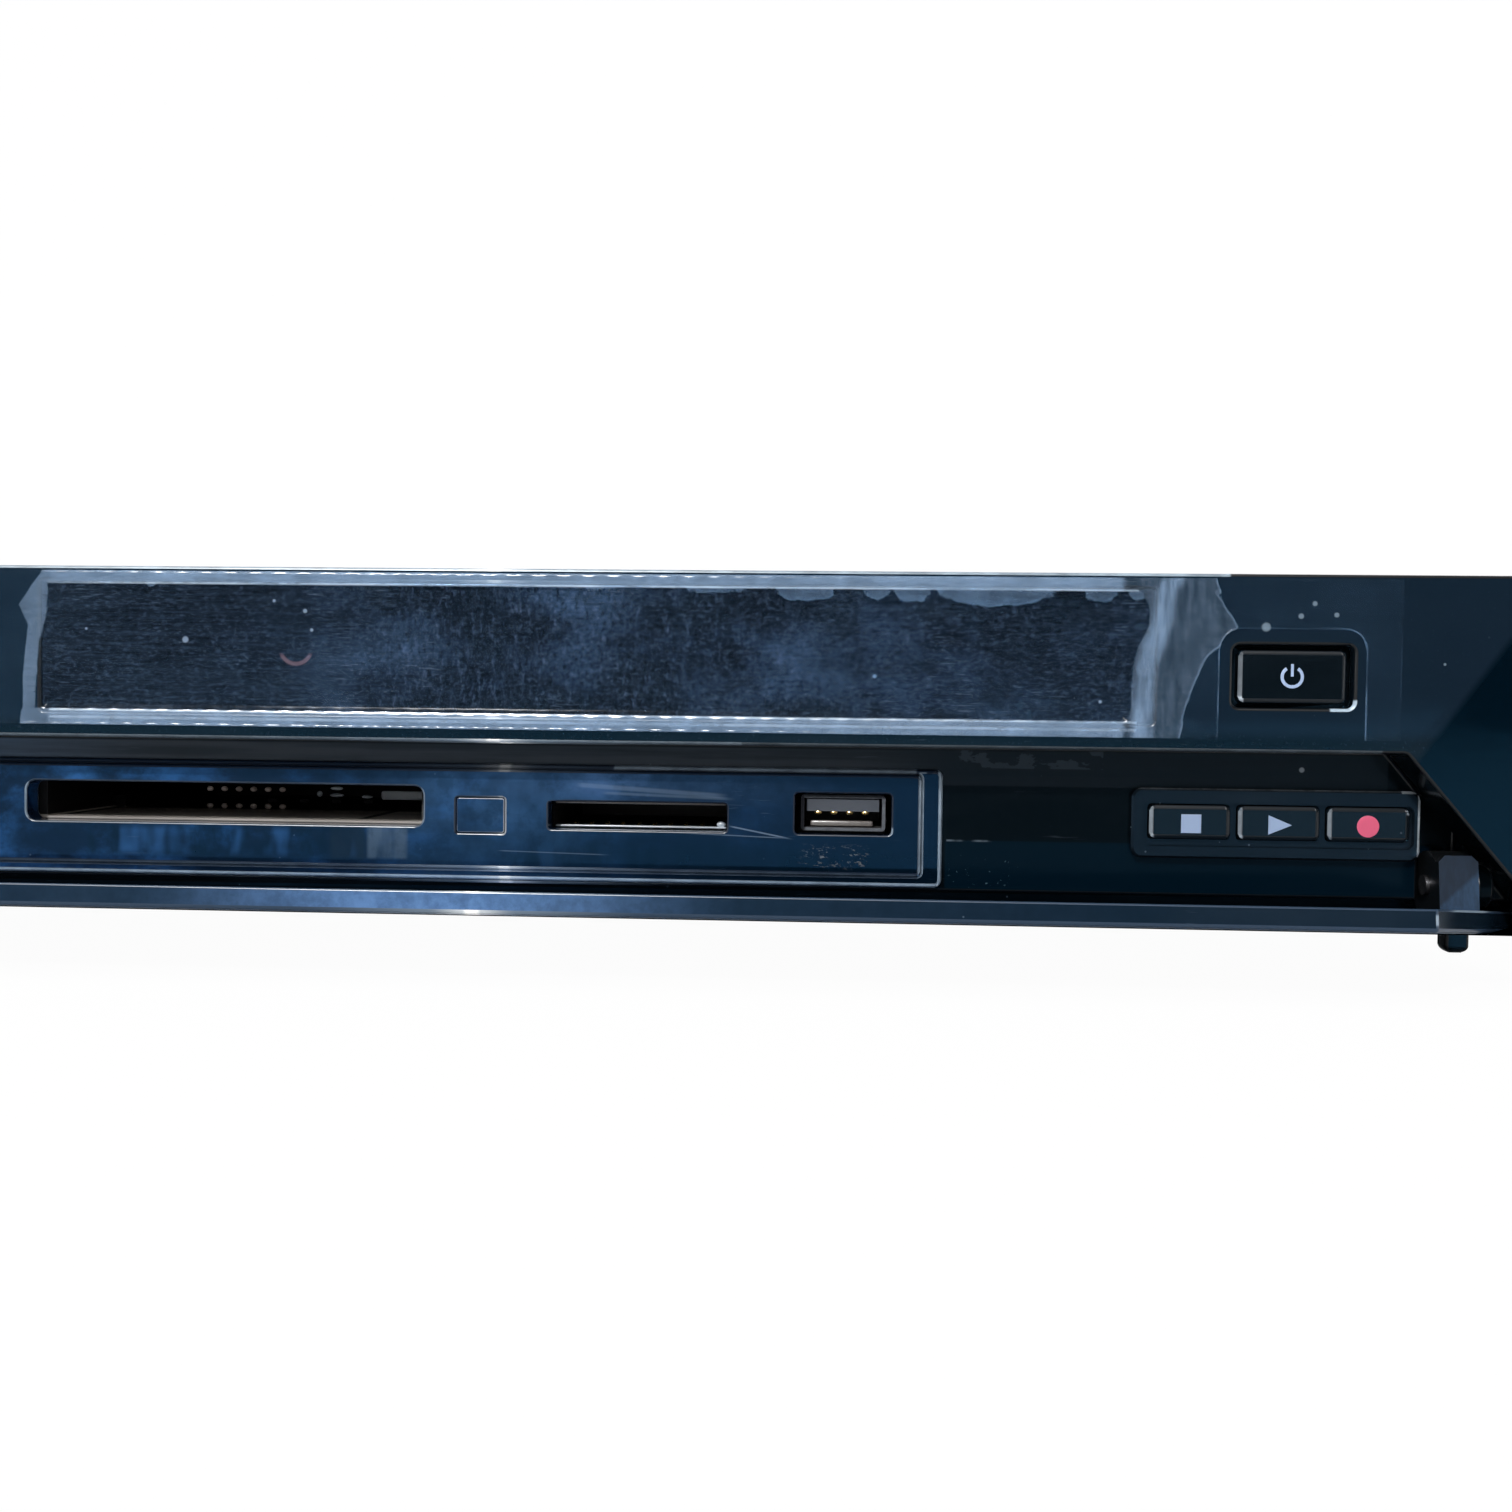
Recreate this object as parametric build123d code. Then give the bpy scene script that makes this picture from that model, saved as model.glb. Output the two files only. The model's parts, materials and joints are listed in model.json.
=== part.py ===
"""Disc recorder with a flip-down front door, a loading tray and a hard disk, in separate pieces.

The front faces -Y and +Z is up. Every piece is drawn with X = 0 in the middle of the case, Y = 0 on the front
plane of the upper panel (depth grows towards the back) and Z = 0 on the table. place() then moves it so that
the origin lies under the middle of the whole object's box. Lengths are in millimetres, angles in degrees.
"""

import os
from math import acos, asin, cos, degrees, pi, radians, sin, sqrt, tan

from build123d import *

# Case
unit_width = 430.0
unit_height = 60.0
body_depth = 280.0
usual_width = 430.0
half_width = unit_width / 2
across = unit_width / usual_width
foot_height = 8.5
sheet = 0.8
case_gap = 0.2
skin = 2.5
bezel_depth = 24.0
cover_inset = 0.6
chassis_side_height = 18.0
chassis_front_lip = 5.5
vent_length, vent_width, vent_pitch = 26.0, 3.0, 8.0

# Door opening, recess and hinge
opening_top = 34.4
slant_top_x = half_width - 23.5
slant_run = 0.847
recess_depth = 9.0
recess_wall = 2.2
recess_floor_z = 12.4
floor_reach = 13.5
door_thickness = 3.3
door_chamfer = 0.4
door_gap = 0.3
pivot_depth, pivot_z = 7.0, 14.9
door_open_angle = 82.3
lug_radius = 5.1
lug_width = 5.6
lug_x = half_width - 15.0
lug_corner = 0.9
pocket_play = 0.5
pocket_top = 28.2
pocket_wall = 1.5
hinge_pin_radius = 1.5
running_play = 0.05
ear_width = 2.5
ear_radius = 3.2
skid_x, skid_width, skid_depth, skid_height = half_width - 10.15, 3.6, 3.5, 4.8

# Upper panel
window_x = (-9.6, half_width - 59.5)
window_z = (38.2, 57.8)
window_step = 0.4
window_thickness = 2.1
window_lip = 2.0
power_x, power_z = half_width - 39.8, 45.3
film_left, film_right = 10.0 - half_width, half_width - 24.6
film_z = (36.25, 59.3)
film_thickness = 0.15
film_notch_x, film_notch_top, film_notch_radius = (power_x - 10.5, power_x + 10.2), 52.1, 3.0
power_hole = (17.2, 9.0)
power_cap = (15.4, 7.6)
cap_step = 0.6

# Slot panel on the back wall of the recess
panel_front = 7.5
panel_band = 0.7
panel_x = (21.0 - half_width, 126.0 * across)
panel_z = (13.0, 30.9)
panel_frame_side, panel_frame_low, panel_frame_high = 3.1, 1.6, 0.7
panel_seat = 2.0
panel_edge = 0.35
card_x, card_z, card_slot = 15.35 * across, 24.2, (62.6, 6.2)
lens_z, lens_size = 22.95, (7.6, 5.5)
sd_x, sd_z, sd_slot = 79.7 * across, 23.15, (27.4, 4.3)
usb_x, usb_z, usb_hole = 111.0 * across, 24.0, (14.6, 6.2)

# Buttons
key_plate_x, key_plate_z = (half_width - 60.9, half_width - 18.6), (18.2, 28.7)
key_plate_front = 7.4
key_well_x, key_well_z, key_well_depth = (half_width - 59.1, half_width - 19.5), (20.0, 26.5), 1.0
key_x, key_pitch, key_z = half_width - 52.3, 13.1, 23.65
key_cap = (12.0, 5.1)
button_travel = 0.8
button_play = 0.2
stem_radius = 2.0
switch_size, switch_depth, plunger_radius, plunger_length = 6.0, 3.5, 1.7, 0.9

# Circuit boards
board = 1.6
front_board_depth = 20.0
board_z = 18.4
post_radius = 3.0
display_x = (window_x[0] + 31.6, window_x[1] - 33.5)
display_z, display_depth = (40.0, 56.0), (6.0, 12.0)
card_cage = (66.0, 66.0, 8.6)
card_cavity = (60.0, 60.0, 5.6)
sd_shell = (28.8, 30.0, 0.6)
usb_shell = (12.9, 17.0, 5.5, 0.5)

# Disc drive
drive_x = 96.0 - half_width
drive_front, drive_length = 26.0, 172.0
drive_wall, drive_base_z, drive_base, drive_top_z = 2.5, 10.5, 2.0, 38.0
tray_width, tray_length, tray_thickness = 130.0, 170.0, 4.0
guide_side = 5.5
drive_width = tray_width + 2 * (guide_side + drive_wall)
tray_z = 23.5
tray_travel = 138.0
tray_opening = (tray_width + 7.0, 13.6)
tray_opening_z = 22.6
tray_front_size = (tray_width + 6.4, 13.0, 3.0)
tray_front_play = 0.1
guide_play = 0.3
guide_lip = 1.8
disc_from_front = 68.0
disc_recess_radius, disc_recess_depth = 60.5, 2.5
small_recess_radius, small_recess_depth = 40.5, 3.0
tray_slot_width, tray_slot = 46.0, (14.5, 68.0)
module_size, pressure_angle, backlash = 1.0, 20.0, 0.08
tray_gear_teeth, pinion_teeth = 20, 14
rack_height, rack_line_x = 2.9, drive_x - tray_width / 2 + 5.0
rack_back = 1.95
gear_depth, gear_thickness = 38.0, 2.4
gear_post_radius = 2.0
pulley_radius, pulley_thickness = 11.0, 2.4
motor_x, motor_depth = drive_x - 3.0, gear_depth
motor_radius, motor_height, motor_pulley_radius = 10.0, 6.2, 3.0
belt_section = 1.2
clamp_hole_radius, clamp_radius, clamp_flange_radius, clamp_bottom = 15.2, 14.4, 17.0, 29.4

# Traverse: carries the spindle and the pickup, drawn level and then lowered by its tilt
traverse_tilt = 4.0
traverse_width, traverse_front, traverse_back = 72.0, 62.0, 170.0
traverse_z, traverse_thickness = 18.0, 4.5
traverse_pivot_depth = 166.0
trunnion_radius, trunnion_length = 2.0, 7.0
traverse_window = (-24.0, 31.0, 90.5, 158.0)
spindle_radius, spindle_flange_radius = 11.0, 12.2
turntable_radius, turntable_thickness, hub_radius, hub_height = 14.0, 2.4, 7.4, 2.2
shaft_radius = 1.0
rod_radius, rod_spread, rod_z = 1.5, 21.0, 19.5
screw_offset = 27.0
screw_lead = 6.0
pickup_size = (38.0, 23.0, 7.1)
pickup_bottom = 16.5
pickup_rest = 24.0
pickup_travel = 34.0
lens_radius, lens_height = 3.0, 1.4
sled_motor_radius, sled_motor_length = 4.0, 8.0

# Hard disk, fan and power supply
disk_size = (101.6, 147.0, 26.1)
disk_x, disk_depth, disk_z = 147.0 * across, 92.0, 13.7
bracket_sheet, bracket_side = 1.0, 12.0
fan_x, fan_z, fan_size, fan_thickness = disk_x, 35.2, 40.0, 10.0
fan_bore, fan_hub, fan_blades, fan_play = 18.8, 11.0, 7, 0.6
power_board_x = (10.0 - half_width, -95.0 * across)
power_board_depth = (drive_front + drive_length + 5.0, body_depth - 12.0)
transformer_size, transformer_side = (34.0, 28.0, 27.0), 36.0
main_can, small_can = (10.0, 32.0), (4.0, 16.0)
heat_plate_sides, heat_plate = (42.0, 14.0), (2.0, 32.0, 24.0)
sink_size, sink_base, sink_fins, sink_fin = (60.0, 60.0, 18.0), 3.0, 9, 1.4
chip_size, chip_height = 32.0, 2.4
memory_chip, memory_pitch, memory_side = (11.0, 14.0, 1.2), 16.0, 41.5
sink_x, sink_depth = 30.0 * across, body_depth * 15 / 28

# Rear connectors
rear_reach = 10.0
aerial_x, aerial_pitch, aerial_count, aerial_z = -36.0 * across, 16.0 * across, 4, 27.0
aerial_radius, aerial_nut_radius, aerial_nut, aerial_bore = 4.75, 6.0, 1.5, 1.6
tuner_side, tuner_length, tuner_height = 9.0, 42.0, 14.0
av_x, av_pitch, av_count, av_z = 34.0 * across, 14.0 * across, 3, 29.0
av_radius, av_length, av_bore = 4.15, 9.0, 1.65
network_x, network_size, network_hole = -76.0 * across, (16.0, 21.0, 13.4), (11.8, 8.2)
hdmi_x, hdmi_size = -56.0 * across, (15.0, 13.0, 6.0)
optical_x, optical_size = 79.0 * across, (10.0, 13.0, 10.0)
inlet_x, inlet_z, inlet_size = 30.0 - half_width, 29.0, (24.0, 18.0, 16.0)
inlet_cavity = (17.5, 9.0, 14.0)
inlet_pin_radius, inlet_pin_spread, inlet_pin_length = 1.2, 4.3, 8.5

# Flat cables: x, width and the depth at which the plug on the main board starts
front_cable = (sd_x, 10.0, recess_depth + recess_wall + sd_shell[1] + 6.0)
drive_cable = (-70.0 * across, 18.0, drive_front + drive_length + 12.0)
plug_depth, plug_height, plug_side = 5.0, 3.5, 1.0
ribbon_thickness, ribbon_bend = 0.3, 1.0

# Feet and screws
foot_x, foot_depths, foot_radius = half_width - 37.0, (74.0, body_depth - 44.0), 12.0
screw_radius, screw_head_radius, screw_head, screw_play = 1.45, 3.0, 0.6, 0.1
screw_length = 5.0
side_screw_depths, side_screw_z = (70.0, body_depth - 50.0), 20.0
rear_screw_x = (10.0 - half_width, -100.0 * across, 100.0 * across, half_width - 10.0)
rear_screw_z = 53.0

# Places that follow from the sizes above
base_z = foot_height
floor_top = base_z + sheet
inner_x = half_width - cover_inset - sheet - case_gap
cover_top = unit_height - cover_inset
rear_inner = body_depth - sheet
board_top = board_z + board
wall_back = recess_depth + recess_wall
door_bottom = base_z + case_gap
door_top = opening_top - door_gap
front_plug_z = opening_top + 6.6
lens_x = (card_x + card_cage[0] / 2 + sd_x - sd_shell[0] / 2) / 2 - 1.325
tray_front_depth = panel_front + tray_front_play
tray_depth = tray_front_depth + tray_front_size[2]
disc_depth = tray_depth + disc_from_front
tray_top = tray_z + tray_thickness
gear_z = tray_z - rack_height + guide_play
tray_gear_radius = module_size * tray_gear_teeth / 2
pinion_radius = module_size * pinion_teeth / 2
tray_gear_x = rack_line_x + tray_gear_radius
mesh_angle = 180 / tray_gear_teeth
pinion_x = tray_gear_x + (tray_gear_radius + pinion_radius) * cos(radians(mesh_angle))
pinion_depth = gear_depth + (tray_gear_radius + pinion_radius) * sin(radians(mesh_angle))
pulley_z = gear_z - pulley_thickness - guide_play
traverse_pivot_z = traverse_z + traverse_thickness / 2
disk_top = disk_z + disk_size[2]
switch_tip = front_board_depth - switch_depth - plunger_length
stem_end = switch_tip - button_travel - button_play / 2
door_swing = radians(door_open_angle)
door_hang, door_rise = pivot_depth - door_chamfer, door_top - pivot_z
door_reach = door_hang * cos(door_swing) + door_rise * sin(door_swing) - pivot_depth
front_y = (door_reach - body_depth - rear_reach) / 2


def block(x, y, z):
    """A block between three pairs of limits."""
    size = Box(x[1] - x[0], y[1] - y[0], z[1] - z[0])
    return Pos((x[0] + x[1]) / 2, (y[0] + y[1]) / 2, (z[0] + z[1]) / 2) * size


def about(middle, size):
    """The two limits of a size that lies evenly about its middle."""
    return middle - size / 2, middle + size / 2


def standing(size, x, y, low):
    """A block of a width, a depth and a height, centred on x and y, that stands on z = low."""
    w, d, h = size
    return block(about(x, w), about(y, d), (low, low + h))


def rounded(width, height, x, z, radius):
    """A rounded rectangle centred on x and z."""
    return Pos(x, z) * RectangleRounded(width, height, min(radius, width / 2.01, height / 2.01))


def between(x, z, radius=0.5):
    """A rounded rectangle between limits in x and z."""
    return rounded(x[1] - x[0], z[1] - z[0], (x[0] + x[1]) / 2, (z[0] + z[1]) / 2, radius)


def facing(outline, near, far):
    """Carries an outline drawn as seen from the front, in x and z, from one depth to another."""
    plane = Plane(origin=(0, near, 0), x_dir=(1, 0, 0), z_dir=(0, -1, 0))
    return extrude(plane * outline, amount=near - far)


def lying(outline, low, high):
    """Carries an outline drawn as seen from above, in x and depth, from one height to another."""
    return extrude(Plane(origin=(0, 0, low)) * outline, amount=high - low)


def sideways(outline, left, right):
    """Carries an outline drawn as seen from the side, in depth and z, from one x to another."""
    plane = Plane(origin=(left, 0, 0), x_dir=(0, 1, 0), z_dir=(1, 0, 0))
    return extrude(plane * outline, amount=right - left)


def upright(radius, x, y, low, high):
    """A cylinder that stands on z = low."""
    return Pos(x, y, (low + high) / 2) * Cylinder(radius, high - low)


def along_depth(radius, x, z, near, far):
    """A cylinder that lies along the depth."""
    return Pos(x, (near + far) / 2, z) * Rot(90, 0, 0) * Cylinder(radius, far - near)


def along_width(radius, y, z, left, right):
    """A cylinder that lies along the width."""
    return Pos((left + right) / 2, y, z) * Rot(0, 90, 0) * Cylinder(radius, right - left)


def both_sides(shape):
    """A shape and its mirror image across the middle of the case."""
    return [shape, mirror(shape, about=Plane.YZ)]


def slant_x(z):
    """Where the slanted end of the door opening is at a height."""
    return slant_top_x + (opening_top - z) * slant_run


def trapezoid(inset, top, bottom):
    """The door opening's outline, drawn in by an inset at its slanted ends."""
    upper, lower = slant_x(top) - inset, slant_x(bottom) - inset
    return make_face(Polyline((-upper, top), (upper, top), (lower, bottom), (-lower, bottom), close=True))


def opened(shape):
    """Turns a piece of the door from closed to its place at rest, open."""
    return shape.rotate(Axis((0, pivot_depth, pivot_z), (1, 0, 0)), door_open_angle)


def lowered(shape):
    """Tilts a piece of the traverse from level down to its place at rest."""
    return shape.rotate(Axis((0, traverse_pivot_depth, traverse_pivot_z), (1, 0, 0)), traverse_tilt)


def window_cut():
    return facing(between(window_x, window_z), -1, skin + 1)


def power_centres():
    """The power button and, mirrored at the left, the open and close button."""
    return (power_x, -power_x)


def hinge_ear():
    """The cheek that holds the hinge pin, carried by the back wall outside the lug."""
    left = lug_x + lug_width / 2 + pocket_play
    ear = along_width(ear_radius, pivot_depth, pivot_z, left, left + ear_width)
    web = block(
        (left, left + ear_width),
        (pivot_depth, recess_depth + recess_wall / 2),
        (pivot_z - ear_radius, pivot_z + ear_radius),
    )
    return ear + web - along_width(hinge_pin_radius, pivot_depth, pivot_z, left - 1, left + ear_width + 1)


def lug_pocket():
    """The pocket behind the recess in which the hinge lug turns, and the box moulded round it."""
    reach = pivot_depth + lug_radius + pocket_play
    x = (lug_x - lug_width / 2 - pocket_play, lug_x + lug_width / 2 + pocket_play)
    box = block(
        (x[0] - pocket_wall, x[1] + pocket_wall),
        (wall_back, reach + pocket_wall),
        (recess_floor_z, pocket_top + pocket_wall),
    )
    hollow = block(x, (recess_depth, reach), (base_z - 1, pocket_top))
    return box, hollow


def front_bezel():
    """Moulded front: upper panel, end caps, the recess behind the door, and posts for the front board."""
    half = half_width
    shell = block((-half, half), (0, bezel_depth), (base_z, unit_height))
    front_edges = shell.edges().filter_by(Axis.Z).group_by(Axis.Y)[0]
    shell = fillet(front_edges, 1.2)
    hollow_z = (base_z + recess_wall, unit_height - skin)
    hollow = block(about(0, unit_width - 2 * skin), (skin, bezel_depth + 1), hollow_z)
    bezel = shell - hollow
    lining_top = opening_top + recess_wall
    lining = facing(trapezoid(-recess_wall, lining_top, base_z), skin / 2, wall_back) & shell
    step = facing(trapezoid(0, recess_floor_z + recess_wall, base_z), recess_depth, floor_reach + recess_wall)
    recess = facing(trapezoid(0, opening_top, base_z), -1, recess_depth)
    swing_x = slant_x(base_z) + door_gap
    swing = block((-swing_x, swing_x), (recess_depth, floor_reach), (base_z - 1, recess_floor_z))
    boxes, pockets = lug_pocket()
    bezel = bezel + lining + step + both_sides(boxes)
    bezel = bezel - recess - swing - both_sides(pockets) + both_sides(hinge_ear())
    skid = block(
        about(skid_x, skid_width),
        (floor_reach + 0.5, floor_reach + 0.5 + skid_depth),
        (base_z - skid_height, base_z),
    )
    skid = fillet(skid.edges().group_by(Axis.Z)[0], 1.2)
    bezel = bezel + both_sides(skid)
    for x, z, start in board_posts():
        bezel = bezel + along_depth(post_radius, x, z, start, front_board_depth)
    bezel = bezel - window_cut() - facing(seat_outline(), 0, wall_back + 1)
    for x in power_centres():
        bezel = bezel - facing(rounded(*power_hole, x, power_z, 1.0), -1, skin + 1)
    return bezel - facing(key_seat_outline(button_play), 0, wall_back + 1)


def board_posts():
    """Where the posts for the front board stand: x, z and the wall that each grows from."""
    window_side = (window_x[1] + power_x - power_hole[0] / 2) / 2
    key_side = (panel_x[1] + key_plate_x[0]) / 2
    return (
        (-window_side, 52.0, skin / 2),
        (-window_side / 3, 52.0, skin / 2),
        (window_side, 52.0, skin / 2),
        (key_side, 22.0, wall_back - recess_wall / 2),
    )


def seat_outline(play=0.0):
    """The opening in the back wall behind the slot panel."""
    inset = panel_frame_side + panel_seat + play
    z = (panel_z[0] + panel_seat + play, panel_z[1] - 1.0 - play)
    return between((panel_x[0] + inset, panel_x[1] - inset), z, 1.0)


def key_seat_outline(play=0.0):
    """The opening in the back wall behind the button plate."""
    return between(
        (key_well_x[0] - play, key_well_x[1] + play), (key_well_z[0] - play, key_well_z[1] + play), 1.0
    )


def panel_holes():
    """Outlines of the openings in the slot panel: card, indicator, memory card, USB and tray."""
    return [
        rounded(*card_slot, card_x, card_z, 1.5),
        rounded(*lens_size, lens_x, lens_z, 0.4),
        rounded(*sd_slot, sd_x, sd_z, 0.5),
        rounded(*usb_hole, usb_x, usb_z, 0.6),
        rounded(*tray_opening, drive_x, tray_opening_z, 1.0),
    ]


def slot_panel():
    """Raised panel with a stepped rim, seated in the back wall of the recess."""
    band = facing(between(panel_x, panel_z, 1.2), panel_front + panel_band, recess_depth)
    face_x = (panel_x[0] + panel_frame_side, panel_x[1] - panel_frame_side)
    face_z = (panel_z[0] + panel_frame_low, panel_z[1] - panel_frame_high)
    face = facing(between(face_x, face_z, 0.8), panel_front, recess_depth)
    band = chamfer(band.edges().group_by(Axis.Y)[0], panel_edge)
    face = chamfer(face.edges().group_by(Axis.Y)[0], panel_edge)
    plug = facing(seat_outline(button_play), recess_depth, wall_back)
    panel = band + face + plug
    for hole in panel_holes():
        panel = panel - facing(hole, panel_front - 1, wall_back + 1)
    return panel


def display_window():
    """Smoked window, a little behind the panel's face, with a lip glued behind the panel."""
    play = 0.05
    outline = between((window_x[0] + play, window_x[1] - play), (window_z[0] + play, window_z[1] - play))
    lip = between(
        (window_x[0] - window_lip, window_x[1] + window_lip),
        (window_z[0] - window_lip / 2, min(window_z[1] + window_lip / 2, unit_height - skin - 0.1)),
    )
    return facing(outline, window_step, window_step + window_thickness) + facing(lip, skin, skin + 1.0)


def protective_film():
    """Thin clear sheet stuck on the upper panel, cut out round the power button."""
    sheet_outline = between((film_left, film_right), film_z)
    notch = Pos(0, -film_notch_radius) * between(
        film_notch_x, (film_z[0] - film_notch_radius, film_notch_top + film_notch_radius), film_notch_radius
    )
    left_button = mirror(notch, about=Plane.YZ)
    return facing(sheet_outline - notch - left_button, -film_thickness, 0)


def indicator_window():
    """Small lens set in the slot panel, with a rim behind it."""
    width, height = lens_size
    lens = facing(rounded(width - 0.2, height - 0.2, lens_x, lens_z, 0.4), panel_front + 0.2, wall_back)
    return lens + facing(rounded(width, height + 1.4, lens_x, lens_z, 0.4), wall_back, wall_back + 1)


def key_centres():
    return [key_x + key_pitch * k for k in range(3)]


def button_plate():
    """Raised plate with a well in which the three round-cornered keys sit."""
    plate = facing(between(key_plate_x, key_plate_z, 1.6), key_plate_front, recess_depth)
    plate = chamfer(plate.edges().group_by(Axis.Y)[0], 0.35)
    plate = plate + facing(key_seat_outline(), recess_depth, wall_back)
    plate = plate - facing(between(key_well_x, key_well_z, 1.1), 0, key_plate_front + key_well_depth)
    for x in key_centres():
        hole = rounded(key_cap[0] + button_play, key_cap[1] + button_play, x, key_z, 0.6)
        plate = plate - facing(hole, 0, wall_back + 1)
    return plate


def button(cap, x, z, face, flange_start, flange):
    """A key: cap, the flange that keeps it behind its hole, and the stem that reaches its switch."""
    body = facing(rounded(*cap, x, z, 0.7), face, flange_start)
    body = chamfer(body.edges().group_by(Axis.Y)[0], 0.3)
    keep = facing(rounded(*flange, x, z, 0.4), flange_start, flange_start + 1)
    return body + keep + along_depth(stem_radius, x, z, flange_start + 1, stem_end)


def key(index):
    x = key_centres()[index]
    flange = (key_cap[0], key_cap[1] + 1.8)
    return button(key_cap, x, key_z, key_plate_front + 0.1, wall_back + guide_play, flange)


def panel_button(x):
    flange = (power_hole[0] + 1.8, power_hole[1] + 1.8)
    return button(power_cap, x, power_z, cap_step, skin + guide_play, flange)


def switch_places():
    return [(x, power_z) for x in power_centres()] + [(x, key_z) for x in key_centres()]


def tact_switches():
    """Small push switches on the front board, one behind each button."""
    near = front_board_depth - switch_depth
    half = switch_size / 2
    return [
        block((x - half, x + half), (near, front_board_depth), (z - half, z + half))
        + along_depth(plunger_radius, x, z, switch_tip, near)
        for x, z in switch_places()
    ]


def front_board():
    """Circuit board behind the panel: a long strip, and a leg down to the keys."""
    left, right = -power_x - 22.0, power_x + 30.0
    low, high = opening_top + 2.6, unit_height - skin - 0.6
    leg_x, leg_z = panel_x[1] + 4.0, recess_floor_z + recess_wall + 0.4
    outline = Polyline(
        (left, high), (right, high), (right, leg_z), (leg_x, leg_z), (leg_x, low), (left, low), close=True
    )
    plate = facing(make_face(outline), front_board_depth, front_board_depth + board)
    far = front_board_depth + board
    z = about(front_plug_z, plug_depth)
    return plate + block(plug_x(front_cable), (far, far + plug_height), z)


def plug_x(cable):
    """The limits in x of the plug of a flat cable."""
    x, width, _ = cable
    half = width / 2 + plug_side
    return x - half, x + half


def display_module():
    """Display tube on two blocks that stand on the front board."""
    tube = block(display_x, display_depth, display_z)
    tube = chamfer(tube.edges().group_by(Axis.Y)[0], 0.8)
    for x in (display_x[0] + 8, display_x[1] - 8):
        z = (display_z[0] + 3, display_z[1] - 3)
        tube = tube + block(about(x, 8), (display_depth[1], front_board_depth), z)
    return tube


def door_panel():
    """Flip-down door: a slab with slanted ends, drawn closed and turned to its open place."""
    slab = facing(trapezoid(door_gap, door_top, door_bottom), 0, door_thickness)
    slab = chamfer(slab.edges().group_by(Axis.Y)[0], door_chamfer)
    return opened(slab)


def door_hinge_arms():
    """A lug at each end of the door: an eye with a flat face, which stands on the door's inner face."""
    left, right = lug_x - lug_width / 2, lug_x + lug_width / 2
    eye = along_width(lug_radius, pivot_depth, pivot_z, left, right)
    face_y, face_z = (door_thickness, pivot_depth + lug_radius - lug_corner), (pivot_z, pivot_z + lug_radius)
    face = block((left, right), face_y, face_z)
    face = chamfer(face.edges().filter_by(Axis.Z).group_by(Axis.Y)[-1], lug_corner)
    eye = eye + face - block((left - 1, right + 1), (-unit_height, door_thickness), (0, unit_height))
    eye = eye - along_width(hinge_pin_radius + running_play, pivot_depth, pivot_z, left - 1, right + 1)
    return both_sides(opened(eye))


def hinge_pins():
    left = lug_x - lug_width / 2 - pocket_play
    right = lug_x + lug_width / 2 + pocket_play + ear_width
    return both_sides(along_width(hinge_pin_radius, pivot_depth, pivot_z, left, right))


def channel(outer_x, outer_y, low, high, wall):
    """A sheet folded down along both sides, open at the front and back."""
    whole = block(outer_x, outer_y, (low, high))
    return whole - block(
        (outer_x[0] + wall, outer_x[1] - wall), (outer_y[0] - 1, outer_y[1] + 1), (low - 1, high - wall)
    )


def side_screw_holes(radius):
    x = half_width
    return [
        along_width(radius, y, side_screw_z, side * x - 6, side * x + 6)
        for y in side_screw_depths
        for side in (-1, 1)
    ]


def rear_screw_holes(radius):
    return [along_depth(radius, x, rear_screw_z, rear_inner - 6, body_depth + 6) for x in rear_screw_x]


def vent_row(x, y, count, across):
    """Centres of a row of vent slots, spaced along the width or the depth."""
    start = -(count - 1) / 2 * vent_pitch
    steps = [start + vent_pitch * k for k in range(count)]
    return [(x + s, y) if across else (x, y + s) for s in steps]


def top_cover():
    """Painted steel cover folded over both sides, with rows of vent slots."""
    half = half_width - cover_inset
    cover = channel((-half, half), (bezel_depth, body_depth), base_z + case_gap, cover_top, sheet)
    bends = cover.edges().filter_by(Axis.Y).group_by(Axis.Z)[-1]
    cover = fillet(bends, sheet)
    slots = [
        block(
            about(x, vent_width),
            about(y, vent_length),
            (cover_top - 2 * sheet, cover_top + 1),
        )
        for place in ((-150.0 * across, body_depth - 40.0), (sink_x, sink_depth + 10.0))
        for x, y in vent_row(*place, 9, True)
    ]
    side_z = (base_z + unit_height) / 2
    for y in vent_row(0.0, sink_depth + 10.0, 9, False):
        slots.append(block(about(0, unit_width), about(y[1], vent_width), (side_z, side_z + 14.0)))
    return cover - slots - side_screw_holes(screw_radius + screw_play)


def bottom_chassis():
    """Folded steel pan with pressed posts under the boards, the drive and the disk bracket."""
    lip = floor_top + chassis_front_lip
    side = floor_top + chassis_side_height
    pan = block((-inner_x, inner_x), (bezel_depth, rear_inner), (base_z, side))
    inside = about(0, 2 * (inner_x - sheet))
    pan = pan - block(inside, (bezel_depth + sheet, rear_inner - sheet), (floor_top, side + 1))
    front = block((-inner_x - 1, inner_x + 1), (bezel_depth - 1, bezel_depth + 6), (lip, side + 1))
    back = block((-inner_x - 1, inner_x + 1), (rear_inner - 6, rear_inner + 1), (lip, side + 1))
    pan = pan - front - back
    under_sink = (sink_x - 10.0, sink_depth + 10.0)
    bottom_vents = ((disk_x, disk_depth + 40.0), (disk_x, disk_depth + 110.0), under_sink)
    slots = [
        block(about(x, vent_length), about(y, vent_width), (0, floor_top + 1))
        for place in bottom_vents
        for x, y in vent_row(*place, 4, False)
    ]
    board_feet = main_board_posts() + power_board_posts()
    posts = [upright(post_radius, x, y, floor_top, board_z) for x, y in board_feet]
    rests = [upright(4.0, x, y, floor_top, drive_base_z) for x, y in drive_rests()]
    return pan + posts + rests - slots - side_screw_holes(screw_radius + screw_play / 2)


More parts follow.
